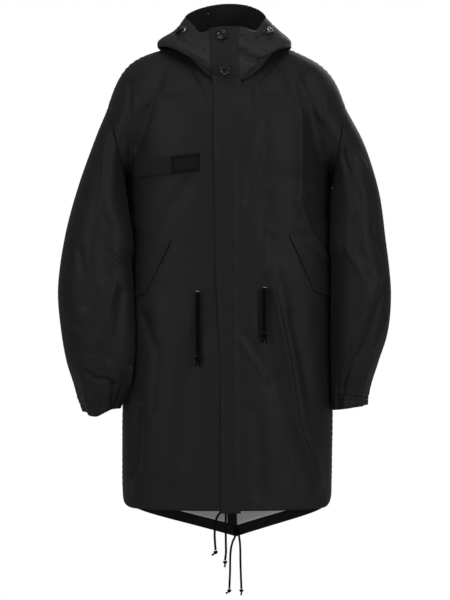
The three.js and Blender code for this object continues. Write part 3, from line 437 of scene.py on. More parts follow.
# width mm, height mm (ridge +, trough -), sharpness (2 soft, 1 sharp), lean, route of (x, z) mm
FOLDS = {
    "front": [
        (14, -8, 1.6, 0.3, [(-146, -50), (-196, -205)]),
        (16, -6, 2, 0, [(124, -45), (140, -100)]),
        (17, -9, 2, 0, [(160, -60), (196, -240)]),
        (14, 6, 2, 0, [(147, -140), (150, -372)]),
        (17, 8, 2, 0, [(92, -466), (180, -905)]),
        (17, -5, 2, 0, [(36, -610), (88, -700)]),
        (13, -11, 2, 0, [(-197, -755), (-203, -890)]),
        (24, 4, 2, 0, [(-150, -560), (-165, -880)]),
    ],
    "back": [
        (20, -7, 2, 0, [(-120, -150), (-150, -430)]),
        (20, -7, 2, 0, [(115, -160), (160, -400)]),
        (24, 8, 2, 0, [(-95, -520), (-150, -940)]),
        (24, 7, 2, 0, [(70, -560), (130, -930)]),
    ],
}
CREASES = {
    "front": [
        (15, -6, 2, 0, [(198, -256), (206, -350)]),
        (5, 3.5, 1.2, 0.9, [(138, -62), (149, -130), (146, -318)]),
        (5, 6.5, 1.2, 1.2, [(146, -318), (153, -345), (175, -388), (208, -440)]),
        (11, -5.5, 1.6, 0.4, [(77, -165), (60, -240), (42, -318)]),
        (15, -4, 2, 0.3, [(80, -318), (72, -352), (84, -400)]),
        (5, 2, 1.4, 0, [(78, -372), (92, -386)]),
        (6, -4, 1.3, 0.6, [(-70, -48), (-54, -78), (-40, -114)]),
        (5, -3, 1.3, 0.6, [(-46, -70), (-34, -100)]),
        (6, -4, 1.3, 0.6, [(33, -74), (52, -110)]),
        (5, -2, 1.4, -0.4, [(46, -72), (72, -100)]),
        (6, 6.5, 1.2, 1.5, [(92, -500), (108, -580), (121, -646), (141, -784), (181, -916)]),
        (14, -4, 2, 0, [(66, -560), (90, -660), (112, -800), (146, -905)]),
        (14, -4, 2, 0, [(128, -560), (150, -660), (168, -800)]),
        (7, 4, 1.4, 0.6, [(26, -612), (50, -650), (76, -690)]),
        (8, 4, 1.5, 0, [(-194, -890), (-202, -925)]),
        (5, -4.5, 1.3, 0.6, [(-211, -66), (-210, -200), (-207, -340)]),
        (12, -3, 2, 0, [(-206, -340), (-204, -500)]),
        (6, 4.6, 1.2, 0.7, [(104, -38), (74, -68), (50, -102), (27, -144)]),
        (5, 4, 1.3, -0.6, [(132, -42), (172, -100), (188, -146)]),
        (5, 3, 1.2, 0.6, [(83, -364), (76, -420), (74, -464), (90, -488)]),
        (7, 2.6, 1.4, -0.4, [(-150, -40), (-176, -110), (-196, -170)]),
        (6, 3, 1.3, 0, [(202, -74), (201, -150), (204, -234)]),
        (16, -4, 2, 0.4, [(-90, -290), (-130, -350), (-196, -400)]),
        (18, -3.5, 2, 0, [(-70, -600), (-92, -720), (-100, -860)]),
        (9, 2.4, 1.5, 0.5, [(-112, -620), (-124, -760), (-120, -900)]),
        (10, -3, 1.7, 0.4, [(-180, -560), (-150, -640), (-160, -760)]),
        (14, -3, 2, 0, [(52, -760), (64, -860), (60, -930)]),
    ],
    "back": [
        (12, -4, 2, 0.3, [(-60, -40), (-110, -90), (-170, -120)]),
        (12, -4, 2, 0.3, [(60, -42), (118, -88), (172, -124)]),
        (8, 3.5, 1.4, 0.4, [(-140, -170), (-168, -300), (-196, -420)]),
        (8, 3.5, 1.4, -0.4, [(138, -176), (172, -290), (198, -410)]),
        (14, -4, 2, 0, [(-30, -380), (10, -420), (70, -400)]),
        (9, 2.6, 1.5, 0.4, [(-60, -450), (0, -470), (62, -452)]),
        (7, -2.4, 1.5, 0.3, [(-150, -505), (-80, -520), (-20, -512)]),
        (7, -2.4, 1.5, 0.3, [(30, -516), (90, -524), (160, -500)]),
        (9, 4, 1.3, 0.5, [(-40, -560), (-62, -720), (-58, -930)]),
        (9, 3.6, 1.3, -0.5, [(34, -580), (50, -760), (66, -960)]),
        (14, -5, 2, 0, [(-105, -540), (-112, -700), (-104, -900)]),
        (14, -5, 2, 0, [(96, -560), (110, -740), (96, -920)]),
        (10, 3, 1.5, 0.4, [(-180, -600), (-172, -760), (-190, -900)]),
        (10, 3, 1.5, -0.4, [(178, -610), (170, -740), (186, -890)]),
    ],
}


def folds_at(table, u, v):
    """Height of a table's folds at (u, v): height * exp(-(d / width)^sharpness), with d the distance to
    the route; a lean adds height * lean * (signed d / width) * exp(-(d / width)^2), one side up, one down."""
    total = np.zeros(np.broadcast(u, v).shape)
    for width, height, sharpness, lean, route in table:
        near = np.full(total.shape, 1e9)
        signed = np.zeros(total.shape)
        for (u1, v1), (u2, v2) in zip(route[:-1], route[1:]):
            du, dv = u2 - u1, v2 - v1
            t = np.clip(((u - u1) * du + (v - v1) * dv) / (du * du + dv * dv), 0, 1)
            away = np.hypot(u - u1 - du * t, v - v1 - dv * t)
            turn = np.sign((u - u1) * dv - (v - v1) * du)
            signed = np.where(away < near, turn * away, signed)
            near = np.minimum(near, away)
        total += height * np.exp(-((near / width) ** sharpness))
        total += height * lean * signed / width * np.exp(-((near / width) ** 2))
    return total


ripples = np.random.default_rng(11)
RIPPLE_WAYS = ripples.normal(size=(9, 3))
RIPPLE_WAYS *= (2 * math.pi / ripples.uniform(38, 150, 9) / np.linalg.norm(RIPPLE_WAYS, axis=1))[:, None]
RIPPLE_STARTS = ripples.uniform(0, 2 * math.pi, 9)


def uneven(points):
    """The cloth's own unevenness, mm: nine plane waves 38 to 150 mm long in seeded directions."""
    waves = np.sin(points @ RIPPLE_WAYS.T + RIPPLE_STARTS)
    return waves.sum(axis=-1) * 0.13


def grid_normals(points, outward, wrap=False):
    """Unit normals of a grid from the differences along its rows and columns."""
    if wrap:
        across = np.roll(points, -1, axis=1) - np.roll(points, 1, axis=1)
    else:
        across = np.gradient(points, axis=1)
    return unit(np.cross(across, np.gradient(points, axis=0))) * outward


def edge_distances(points):
    """Distances along a grid's rows from both ends, and along its columns from both ends."""
    across, up = np.zeros((2, *points.shape[:2]))
    across[:, 1:] = np.cumsum(np.linalg.norm(np.diff(points, axis=1), axis=-1), axis=1)
    up[1:] = np.cumsum(np.linalg.norm(np.diff(points, axis=0), axis=-1), axis=0)
    return {"first": across, "last": across[:, -1:] - across, "low": up, "high": up[-1:] - up}


def sewn(points, normals, edges, puckers=0.6):
    """Moves a grid's points in beside its seams: a 0.9 mm groove, a raised lapped edge 7 mm wide, and
    puckers about 13 mm long that die away within 16 mm."""
    away = edge_distances(points)
    lift = np.zeros(points.shape[:2])
    for edge in edges:
        d = away[edge]
        along = away["low"] if edge in ("first", "last") else away["first"]
        pucker = np.sin(along / 13 * 2 * math.pi + 2.1 * np.sin(along / 57)) * np.sin(along / 31 + 0.7)
        lift += -0.9 * np.exp(-d / 1.3) + 0.5 * ease((9 - d) / 3) + puckers * pucker * np.exp(-((d - 5) / 9) ** 2)
    return points + normals * lift[..., None]


def area_of(points):
    """The area of a grid's four-sided faces, by their diagonals."""
    one = points[1:, 1:] - points[:-1, :-1]
    two = points[1:, :-1] - points[:-1, 1:]
    return float(np.linalg.norm(np.cross(one, two), axis=-1).sum() / 2)


def cloth_piece(name, outer, material, node, outward, thickness=2.0, wrap=False):
    """A closed sheet from a grid in mm: the outer points, the inner points moved in by the thickness, and
    the rims between them. Its UV is the distance along rows and columns in metres."""
    outer = np.asarray(outer, float)
    normals = grid_normals(outer, outward, wrap)
    rows, columns = outer.shape[:2]
    count = rows * columns
    faces = np.array(grid_faces(rows, columns, wrap, flip=outward < 0))
    inner = faces[:, ::-1] + count
    index = np.arange(count).reshape(rows, columns)
    if wrap:
        index = np.hstack([index, index[:, :1]])
    rims = [(index[0, :-1], index[0, 1:]), (index[-1, 1:], index[-1, :-1])]
    if not wrap:
        rims += [(index[:-1, -1], index[1:, -1]), (index[1:, 0], index[:-1, 0])]
    edges = []
    for a, b in rims:
        a, b = (a, b) if outward > 0 else (b, a)
        edges.append(np.stack([b, a, a + count, b + count], axis=-1))
    points = np.vstack([outer.reshape(-1, 3), (outer - normals * thickness).reshape(-1, 3)]) / 1000
    away = edge_distances(outer)
    uv = np.stack([away["first"], away["low"]], axis=-1).reshape(-1, 2) / 1000
    faces = np.vstack([faces, inner, *edges]).tolist()
    piece = put_mesh(name, points, faces, material, np.vstack([uv, uv]), node)
    whole = np.concatenate([outer, outer[:, :1]], axis=1) if wrap else outer
    size = edge_distances(whole)
    width, length = float(size["first"].max() / 1000), float(size["low"].max() / 1000)
    area = area_of(whole) / 1e6
    trim = min(math.sqrt(area / (0.45 * width * length)), 1)  # longest row and column rarely cross
    width, length = width * trim, length * trim
    area = min(area, width * length)
    return piece


def weave(tree, place):
    """Matt black cloth: faint mottling from wear, a diagonal weave drawn 1.4 mm wide so that it shows, and
    the fine crinkles that a stiff, much-handled cloth keeps."""
    wear = add_node(tree, "ShaderNodeTexNoise", {"Scale": 14.0, "Detail": 5.0, "Roughness": 0.6},
                    {"Vector": place["Object"]})
    crinkle = add_node(tree, "ShaderNodeTexNoise", {"Scale": 55.0, "Detail": 3.0, "Roughness": 0.55},
                       {"Vector": place["Object"]})
    turned = add_node(tree, "ShaderNodeMapping", {"Rotation": (0, 0, math.radians(58))},
                      {"Vector": place["UV"]})
    twill = add_node(tree, "ShaderNodeTexWave", {"Scale": 110.0, "Distortion": 0.6, "Detail": 1.0},
                     {"Vector": turned.outputs[0]})
    fine = add_node(tree, "ShaderNodeBump", {"Strength": 0.35, "Distance": 0.0002},
                    {"Height": twill.outputs["Fac"]})
    bump = add_node(tree, "ShaderNodeBump", {"Strength": 0.55, "Distance": 0.0016},
                    {"Height": crinkle.outputs["Fac"], "Normal": fine.outputs[0]})
    return wear.outputs["Fac"], bump


shell_cloth = soft_material("black_cotton_nylon_shell", "#161616", "#1c1c1c", 0.58, 0.2, weave, 0.04)


def form_normals(form, u, v, step_u, outward):
    """Unit normals of a surface of two arrays, by small steps to both sides."""
    across = form(u + step_u, v) - form(u - step_u, v)
    up = form(u, np.minimum(v + 1e-3, 1)) - form(u, np.maximum(v - 1e-3, 0))
    return unit(np.cross(across, up)) * outward


def dressed_torso(side, face, s, t):
    """The torso with its folds, creases and unevenness, mm, and its plain form's outward normals."""
    outward = -SIGNS[side] * TO_FACE[face]
    points = torso_form(side, face, s, t)
    normals = form_normals(lambda a, b: torso_form(side, face, a, b), np.clip(s, 0.004, 0.996),
                           np.clip(t, 0.004, 0.996), 1e-3, outward)
    x, z = points[..., 0], points[..., 2]
    fade = ease((1 - s) / 0.08) * ease((1 - t) / 0.05)
    height = folds_at(FOLDS[face], x, z) + folds_at(CREASES[face], x, z) + uneven(points)
    return points + normals * (height * fade)[..., None], normals


# the backs lap a little at the seams
TORSO_S = {"front": np.linspace(0.0002, 1, 84), "back": np.linspace(-0.001, 1.0008, 84)}
torso_t = np.concatenate([np.linspace(0, UNDERARM_T, 150), np.linspace(UNDERARM_T, 1, 66)[1:]])
for face, neighbours in (("front", "back"), ("back", "front")):
    for side in ("right", "left"):
        s, t = np.meshgrid(TORSO_S[face], torso_t)
        outward = -SIGNS[side] * TO_FACE[face]
        points, _ = dressed_torso(side, face, s, t)
        seams = ["last", "high"] + (["first"] if face == "back" else [])
        points = sewn(points, grid_normals(points, outward), seams)
        cloth_piece(f"{face}_cloth_{side}", points, shell_cloth, f"{face}_{side}", outward)


# Sleeves, each a top half and an under half.
# The same cloth, sewn to the armhole and hanging a little bent at the elbow; soft diagonal folds run
# down to the cuff, where the cloth is gathered.
SLEEVE = {  # share, outer x, z, inner x, z, middle y, half depth, mm
    "right": np.array([
        (0, -262, -114, -222, -270, 0, 95), (0.12, -292, -191, -219, -330, -18, 97),
        (0.27, -327, -295, -208, -390, -34, 94), (0.42, -353, -398, -200, -455, -43, 90),
        (0.57, -366, -501, -194, -525, -48, 86), (0.7, -361, -580, -188, -588, -50, 82),
        (0.83, -348, -656, -188, -652, -50, 76), (0.93, -331, -707, -204, -704, -48, 66),
        (1, -322, -740, -222, -738, -44, 52)], float),
    "left": np.array([
        (0, 247, -114, 218, -270, 0, 95), (0.12, 286, -191, 218, -330, -16, 97),
        (0.27, 317, -295, 215, -390, -32, 94), (0.42, 331, -398, 213, -452, -42, 90),
        (0.57, 342, -505, 212, -525, -46, 86), (0.7, 336, -590, 212, -592, -47, 80),
        (0.83, 316, -656, 212, -652, -47, 72), (0.93, 301, -700, 213, -696, -46, 62),
        (1, 293, -732, 214, -728, -45, 52)], float),
}
# width mm, height mm, sharpness, lean, route of (angle from the outer side, share down)
SLEEVE_CREASES = {
    "right": [
        (34, 10, 2, 0, [(-152, 0.12), (-152, 0.32)]),
        (8, -6, 1.4, 1.6, [(-66, 0.872), (-79, 0.90), (-96, 0.90), (-116, 0.925)]),
        (5, 6, 1.2, 1, [(-92, 0.91), (-120, 0.95), (-146, 0.985)]),
        (5, -7, 1.2, 0.8, [(-108, 0.93), (-132, 0.965), (-150, 0.99)]),
        (5, 7, 1.2, -1, [(-140, 0.87), (-156, 0.985)]),
        (24, -8, 2, 0, [(-102, 0.30), (-100, 0.40), (-104, 0.50)]),
        (7, 3.6, 1.4, 0.5, [(-62, 0.06), (-80, 0.16), (-84, 0.30)]),
        (8, -3.5, 1.5, 0.4, [(-106, 0.395), (-128, 0.42), (-150, 0.40)]),
        (7, 3, 1.4, 0.4, [(-110, 0.42), (-140, 0.46)]),
        (7, -1.8, 1.4, 0.5, [(-26, 0.655), (-60, 0.70)]),
        (7, -2.2, 1.4, 0.5, [(-28, 0.70), (-58, 0.745)]),
        (8, -1.8, 1.4, 0.5, [(-24, 0.755), (-62, 0.80), (-84, 0.80)]),
        (9, 4, 1.5, 0.4, [(-118, 0.52), (-106, 0.62), (-92, 0.76)]),
        (12, -5, 2, 0.3, [(-130, 0.55), (-120, 0.68), (-104, 0.82)]),
        (10, -4, 1.8, 0, [(-60, 0.44), (-74, 0.54), (-70, 0.62)]),
        (12, -5, 2, 0.3, [(60, 0.20), (84, 0.34), (80, 0.46)]),
        (8, 3.6, 1.4, 0.4, [(100, 0.36), (70, 0.50), (40, 0.58)]),
        (8, -3.6, 1.4, 0.4, [(40, 0.66), (80, 0.72), (120, 0.70)]),
        (8, 3, 1.4, 0.4, [(50, 0.80), (90, 0.86)]),
    ],
    "left": [
        (34, 14, 2, 0, [(-152, 0.10), (-152, 0.34)]),
        (9, 5, 1.4, 0.4, [(-78, 0.05), (-64, 0.11), (-50, 0.17)]),
        (14, -5, 2, 0, [(-96, 0.05), (-92, 0.14), (-80, 0.24)]),
        (13, -7, 1.9, 0.3, [(-42, 0.55), (-64, 0.64), (-84, 0.78), (-108, 0.88), (-118, 0.97)]),
        (8, 4, 1.4, 0.4, [(-60, 0.53), (-82, 0.63), (-104, 0.76)]),
        (8, 3, 1.4, -0.4, [(-30, 0.66), (-58, 0.80), (-80, 0.90)]),
        (14, -4.5, 2, 0, [(-100, 0.30), (-92, 0.42), (-70, 0.50)]),
        (8, 3, 1.4, 0.4, [(-120, 0.38), (-92, 0.50)]),
        (9, -4, 1.6, 0.4, [(-50, 0.28), (-60, 0.38), (-40, 0.46)]),
        (12, -5, 2, 0.3, [(60, 0.22), (88, 0.34), (84, 0.46)]),
        (8, 3.6, 1.4, 0.4, [(104, 0.38), (74, 0.52), (44, 0.60)]),
        (8, -3.6, 1.4, 0.4, [(44, 0.68), (84, 0.74), (120, 0.72)]),
    ],
}


def clear_of_torso(side, points, clearance):
    """Points below the underarm moved out of the torso's section at their height, where they lie in it."""
    x, y, z = np.moveaxis(points, -1, 0)
    wide = smooth_column(TORSO, TORSO_COLUMNS[side], z) + clearance
    front, back = (smooth_column(TORSO, TORSO_COLUMNS[face], z) for face in ("front", "back"))
    inside = np.abs(x / wide) ** SECTION_POWER + np.abs(y / (np.where(y < 0, front,
                                                                      back) + clearance)) ** SECTION_POWER
    k = np.where((z <= UNDERARM_Z) & (inside < 1), np.maximum(inside, 1e-9) ** (-1 / SECTION_POWER), 1)
    return np.stack([x * k, y * k, z], axis=-1)


def sleeve_form(side, angle, share):
    """A plain point of a sleeve, mm: an oval between its outer and inner edge at each share, with seven
    gathers that grow over the last fifth."""
    out_x, out_z, in_x, in_z, mid_y, half = (smooth_column(SLEEVE[side], c, share) for c in range(1, 7))
    across, turn = np.cos(np.radians(angle)), np.sin(np.radians(angle))
    gather = 1 + 0.035 * ease((share - 0.8) / 0.2) * np.cos(np.radians(7 * angle))
    points = np.stack([mix(in_x, out_x, (1 + across * gather) / 2), mid_y + half * turn * gather,
                       mix(in_z, out_z, (1 + across) / 2)], axis=-1)
    return clear_of_torso(side, points, 4.6 * ease(share / 0.05))


MM_A_DEGREE, MM_A_SHARE = 1.55, 620.0  # about the sleeve's size, for the creases' widths
for side in ("right", "left"):
    creases = [(*look, [(a * MM_A_DEGREE, b * MM_A_SHARE) for a, b in route])
               for *look, route in SLEEVE_CREASES[side]]
    for half, low, high in (("front", -180.1, 0.1), ("rear", 0, 180)):
        angle, share = np.meshgrid(np.linspace(low, high, 72), np.linspace(0, 1, 150))
        points = sleeve_form(side, angle, share)
        normals = grid_normals(points, -SIGNS[side])
        height = folds_at(creases, angle * MM_A_DEGREE, share * MM_A_SHARE) + uneven(points)
        height += 0.9 * np.cos(np.radians(19 * angle) + 3 * share) * ease((share - 0.86) / 0.12)
        height *= ease(share / 0.03) * (0.35 + 0.65 * np.abs(np.sin(np.radians(angle))))
        points = points + normals * height[..., None]
        points = sewn(points, grid_normals(points, -SIGNS[side]), ["first", "last", "low", "high"], 0.1)
        cloth_piece(f"sleeve_cloth_{side}_{half}", points, shell_cloth, f"sleeve_{side}_{half}",
                    -SIGNS[side])


# Gathered cuffs.
# A straight band of the same cloth, gathered on elastic at its upper edge; the wearer's right one flares.
# outer and inner lower edge's height mm, swell, gathers' depth mm, droop mm
CUFF = {"right": (-760, -757, 0.78, 2.5, 15), "left": (-750, -761, 0.94, 1.5, 0)}
CUFF_TALL = 42  # mm, about, for the stitch lines' places
for side, (out_z, in_z, swell, wave, droop) in CUFF.items():
    middle_x = (SLEEVE[side][-1, 1] + SLEEVE[side][-1, 3]) / 2
    middle = np.array([middle_x, SLEEVE[side][-1, 5], 0])
    angle, down = np.meshgrid(np.linspace(0, 360, 168, endpoint=False), np.linspace(0, 1, 26))
    start = sleeve_form(side, angle, np.ones_like(angle))
    flat_start = start * [1, 1, 0] - middle * [1, 1, 0]
    across = np.cos(np.radians(angle))
    drop = mix(in_z, out_z, (1 + across) / 2) - droop * np.exp(-(((across - 0.35) / 0.6) ** 2))
    gathers = wave * down * np.cos(np.radians(7 * angle))
    gathers += 0.8 * np.cos(np.radians(23 * angle) + 2 * down) * (1 - 0.6 * down)
    points = middle * [1, 1, 0] + flat_start * mix(1, swell, down)[...,
        None] + unit(flat_start) * gathers[..., None]
    points[..., 2] = mix(start[..., 2] + 1.2, drop, down)
    points = clear_of_torso(side, points, 4)
    way = float(np.sign((grid_normals(points, 1, True)[13, :] * unit(flat_start[13, :])).sum()))
    band = np.exp(-((down - 0.42) * CUFF_TALL / 3) ** 2)  # the elastic's lower stitch line
    seam = 1.2 * np.exp(-down * CUFF_TALL / 2)
    points = points - grid_normals(points, way, True) * (band + seam)[..., None]
    cloth_piece(f"cuff_cloth_{side}", points, shell_cloth, f"cuff_{side}", way,
                wrap=True)


# Three-piece hood, worn down.
# Softer unlined black cloth, its colours painted lighter than the shell's as painted light from above: two
# side pieces and a centre strip, rolled over the neck seam, its back drooping behind the shoulders and its
# mouth standing open, with a hemmed rim.
HOOD = np.array([  # share, middle x, half width, front and back depth, front, side and back z, power
    (0, 0, 100, 108, 82, -70, 24, 18, 1.6), (0.06, -2, 112, 110, 103, -67, 32, 7, 2),
    (0.14, -6, 128, 113, 138, -62, 26, -33, 3), (0.34, -12, 142.5, 117, 178, -46, 14, -172, 3.8),
    (0.46, -12, 142.5, 118, 204, -28, 29, -132, 2.9), (0.74, -7, 112, 108, 172, 14, 53, 20, 1.5),
    (1, -10, 87, 98, 88, 56, 80, 121, 1.2)], float)


def hood_form(angle, share):
    """A plain point of the hood, mm: an oval ring at each share from the neck seam over the droop to the
    rim; height = side + (end - side)|cos|^power, with the end at the front or at the back. In front the rim
    slumps by 7 cos^2 + 15 to 19 exp(-((|angle| - 42) / 17)^2)."""
    mid_x, wide, front, back, front_z, side_z, back_z, power = (
        smooth_column(HOOD, c, share) for c in range(1, 9))
    turn, along = np.sin(np.radians(angle)), np.cos(np.radians(angle))
    depth, end_z = np.where(along > 0, front, back), np.where(along > 0, front_z, back_z)
    off = (np.abs((angle + 180) % 360 - 180) - 42) / 17
    slump = 7 * along**2 + np.where(turn < 0, 19, 15) * np.exp(-(off**2))
    slump = slump * ease((share - 0.5) / 0.5) * (along > 0)
    return np.stack([mid_x * (1 - along**2) + wide * turn, -depth * along,
                     side_z + (end_z - side_z) * np.abs(along) ** power + 0.3 - slump], axis=-1)


# painted light: the hood's two colours are lighter than the shell's, standing in for the light that falls on it
# from above
hood_cloth_painted_lighter = soft_material("soft_black_hood_cloth_painted_lighter", "#272727", "#2f2f2f", 0.6, 0.2, weave, 0.04)
HOOD_CREASES = {
    "front": [
        (8, -5, 1.3, 2.6, [(-155, -2), (-125, -12), (-104, -30), (-84, -48), (-70, -48)]),
        (8, -5, 1.3, -2.6, [(136, 2), (110, 4), (80, -14), (66, -20), (42, -12), (31, -2)]),
        (5, 4.5, 1.3, 0.6, [(36, 8), (52, 6), (69, -2)]),
        (5, -4.5, 1.3, 0.4, [(30, 30), (52, 22), (64, 26)]),
        (5, 3.6, 1.3, 0.3, [(22, 44), (50, 38), (70, 42)]),
        (6, 4.5, 1.3, 0.6, [(-94, 12), (-76, -4), (-54, -18)]),
        (6, -4.5, 1.3, 0.6, [(-102, 30), (-84, 14), (-60, 4)]),
        (6, 2.4, 1.4, 0.4, [(-120, 34), (-108, 14)]),
    ],
    "back": [
        (14, -5, 2, 0.3, [(-70, 40), (-92, -30), (-80, -110)]),
        (14, -5, 2, 0.3, [(66, 44), (84, -26), (70, -104)]),
        (9, 3.4, 1.5, 0.4, [(-40, 20), (-52, -60), (-30, -130)]),
        (9, 3.4, 1.5, -0.4, [(30, 30), (46, -50), (24, -126)]),
    ],
}
hood_share = np.concatenate([np.linspace(0, 0.46, 60), np.linspace(0.46, 1, 76)[1:]])


def dressed_hood(angle, share):
    """The hood with its creases and unevenness, mm, and its plain form's outward normals."""
    points = hood_form(angle, share)
    normals = form_normals(hood_form, angle, share, 0.3, 1)
    x, z = points[..., 0], points[..., 2]
    height = np.where(points[..., 1] < 0, *(folds_at(HOOD_CREASES[face], x, z) for face in ("front",
                                                                                            "back")))
    shown = ease((share - 0.06) / 0.08) * ease((1 - share) / 0.04 + 0.2)
    seam = ease(share / 0.05)
    round_front = np.abs((angle + 180) % 360 - 180)
    tuck = ease((round_front - 12) / 20) * ease((125 - round_front) / 25)
    under = 7 * tuck * np.exp(-(((share - 0.13) / 0.07) ** 2))  # the lobes' shadowed underside
    return points + normals * (height * shown + 0.9 * uneven(points) * seam - under)[..., None], normals


hood_pieces = {"left": (0.0, 150.0, 104), "centre": (150.0, 210.0, 52), "right": (210.0, 360.0, 104)}
for name, (low, high, count) in hood_pieces.items():
    angle, share = np.meshgrid(np.linspace(low, high, count), hood_share)
    points, _ = dressed_hood(angle, share)
    seams = {"left": ["last", "low"], "centre": ["first", "last", "low"], "right": ["first", "low"]}[name]
    points = sewn(points, grid_normals(points, 1), seams)
    rim = edge_distances(points)["high"]  # the hem's stitch line, 20 mm in from the rim
    points = points - grid_normals(points, 1) * (0.9 * np.exp(-((rim - 20) / 1.8) ** 2))[..., None]
    cloth_piece(f"hood_cloth_painted_lighter_{name}", points, hood_cloth_painted_lighter, f"hood_{name}", 1,
                thickness=1.2)


# Storm flap over the zip.
# One long double strip of the shell cloth, sewn down along the wearer's left and free on the right,
# from the hem to the hood's rim; hidden snaps press faint dimples into it.
FLAP_EDGE = np.array([(-972, -20), (-694, -20), (-548, -26.4), (-485, -29.5), (-318, -32.7), (-130, -35.8),
                      (60, -37)], float)  # height, free edge's x, mm
FLAP_SEWN_X, FLAP_WALL, FLAP_GAP, FLAP_DROP = 22, 1.2, 0.9, 5
SNAP_DIMPLES = [(-10, -249), (0, -370), (4, -433), (5, -475), (-2, -495), (2, -552), (2, -700), (0, -840)]


def flap_on_torso(x, t):
    """The fronts' dressed surface at x on the row t: s is scaled by |x| / |x(s)| until it settles."""
    pieces = []
    for side in ("right", "left"):
        s = np.full(x.shape, 0.1)
        for _ in range(12):
            reach = np.abs(torso_form(side, "front", s, t)[..., 0])
            s = np.clip(s * np.maximum(np.abs(x), 0.05) / np.maximum(reach, 1e-6), 1e-4, 1)
        pieces.append(dressed_torso(side, "front", s, t))
    left = (x > 0)[..., None]
    return [np.where(left, b, a) for a, b in zip(*pieces)]


flap_across = np.linspace(0, 1, 34)
flap_t = np.linspace(0, 0.842, 250)
flap_share = np.concatenate([np.linspace(0.14, 0.4, 16), np.linspace(0.4, 1, 44)[1:]])
row_z = torso_form("right", "front", np.full(flap_t.shape, 0.1), flap_t)[:, 2]
free_x = smooth_column(FLAP_EDGE, 1, row_z)
flap_x = mix(free_x[:, None], FLAP_SEWN_X, flap_across[None, :])
low_part, low_out = flap_on_torso(flap_x, np.broadcast_to(flap_t[:, None], flap_x.shape))
low_part[..., 2] -= FLAP_DROP * ease(1 - flap_t / 0.02)[:, None]
rim_z = hood_form(np.full(flap_share.shape, -20.0), flap_share)[:, 2]
hood_x = mix(smooth_column(FLAP_EDGE, 1, rim_z)[:, None], FLAP_SEWN_X, flap_across[None, :])
share = np.broadcast_to(flap_share[:, None], hood_x.shape)
reach = hood_form(np.full(share.shape, 90.0), share)[..., 0]
high_part, high_out = dressed_hood(np.degrees(np.arcsin(np.clip(hood_x / reach, -1, 1))), share)
flap_points = np.concatenate([low_part, high_part])
flap_out = np.concatenate([low_out, high_out])
flap_lift = np.full(flap_points.shape[:2], FLAP_WALL + FLAP_GAP)
flap_lift -= (FLAP_WALL + FLAP_GAP + 0.3) * ease((flap_across - 0.68) / 0.32)[None, :]  # the sewn edge
flap_lift += 1.6 * ease(1 - flap_across / 0.22)[None, :] * (
    0.6 + 0.4 * np.sin(flap_points[..., 2] / 47 + 0.6 * np.sin(flap_points[..., 2] / 19)))
for x, z in SNAP_DIMPLES:
    flap_lift -= 0.8 * np.exp(-(np.hypot(flap_points[..., 0] - x, flap_points[..., 2] - z) / 8) ** 2)
flap_points = flap_points + flap_out * flap_lift[..., None]
cloth_piece("storm_flap_cloth", flap_points, shell_cloth, "storm_flap", 1,
            thickness=FLAP_WALL)
flap_normals = grid_normals(flap_points, 1)


# Slanted pocket flaps.
# Double shell cloth, sewn along the slanted upper edge, the pointed lower edge free and a little proud.
POCKET = {
    "right": {"tip_high": (-123, -398), "tip_low": (-126, -408), "corner": (-177, -512),
              "side_low": (-209, -523), "side_high": (-211, -461)},
    "left": {"tip_high": (128, -384), "tip_low": (124, -393), "corner": (176, -508),
             "side_low": (212, -522), "side_high": (214, -460)},
}
TRIM_GAP = 1.1


def on_front(x, z):
    """The dressed front's points and normals at (x, z), mm, by Newton's steps on its two shares."""
    side = "right" if x.mean() < 0 else "left"
    s = np.clip(np.abs(x) / 240, 0.02, 0.98)
    t = np.where(z < UNDERARM_Z, UNDERARM_T * (1 - (z - UNDERARM_Z) / (HEM["front"][0] - UNDERARM_Z)), 0.75)
    step = 1e-4
    for _ in range(12):
        here = torso_form(side, "front", s, t)
        by_s = (torso_form(side, "front", s + step, t) - here) / step
        by_t = (torso_form(side, "front", s, t + step) - here) / step
        det = by_s[..., 0] * by_t[..., 2] - by_t[..., 0] * by_s[..., 2]
        off_x, off_z = x - here[..., 0], z - here[..., 2]
        s = np.clip(s + (off_x * by_t[..., 2] - off_z * by_t[..., 0]) / det, 0, 0.995)
        t = np.clip(t + (off_z * by_s[..., 0] - off_x * by_s[..., 2]) / det, 0, 0.995)
    return dressed_torso(side, "front", s, t)


def trim_grid(low, high, lift):
    """A grid between two edges on the front, each a function of 0 to 1, lifted off it; columns turned so
    that they always run towards +X."""
    u, v = np.meshgrid(np.linspace(0, 1, 64), np.linspace(0, 1, 30))
    (x1, z1), (x2, z2) = low(u), high(u)
    points, normals = on_front(mix(x1, x2, v), mix(z1, z2, v))
    points = points + normals * lift(u, v)[..., None]
    turn = points[0, -1, 0] < points[0, 0, 0]
    return (points[:, ::-1], normals[:, ::-1]) if turn else (points, normals)


def straight(a, b):
    return lambda u: (mix(a[0], b[0], u), mix(a[1], b[1], u))


for side, corners in POCKET.items():
    first = straight(corners["tip_low"], corners["corner"])
    second = straight(corners["corner"], corners["side_low"])

    def free_edge(u, first=first, second=second):
        one, two = first(u / 0.7), second((u - 0.7) / 0.3)
        return tuple(np.where(u < 0.7, a, b) for a, b in zip(one, two))

    def proud(u, v):
        edge = 1.6 * np.exp(-v / 0.16) * (0.7 + 0.3 * np.sin(9 * u))
        return FLAP_WALL + TRIM_GAP + edge - 0.8 * np.exp(-(1 - v) / 0.03)

    points, _ = trim_grid(free_edge, straight(corners["tip_high"], corners["side_high"]), proud)
    cloth_piece(f"pocket_flap_cloth_{side}", points, shell_cloth, f"pocket_flap_{side}", 1,
                thickness=FLAP_WALL)


# Patch of loop tape on the right chest, left bare.
# Black nylon hook-and-loop tape, matt and fuzzy; its inner end is a second, denser tape with a flat pad.
TAPE = {"top_in": (-64, -220), "top_out": (-201, -234), "low_out": (-200, -269), "low_in": (-65, -258)}


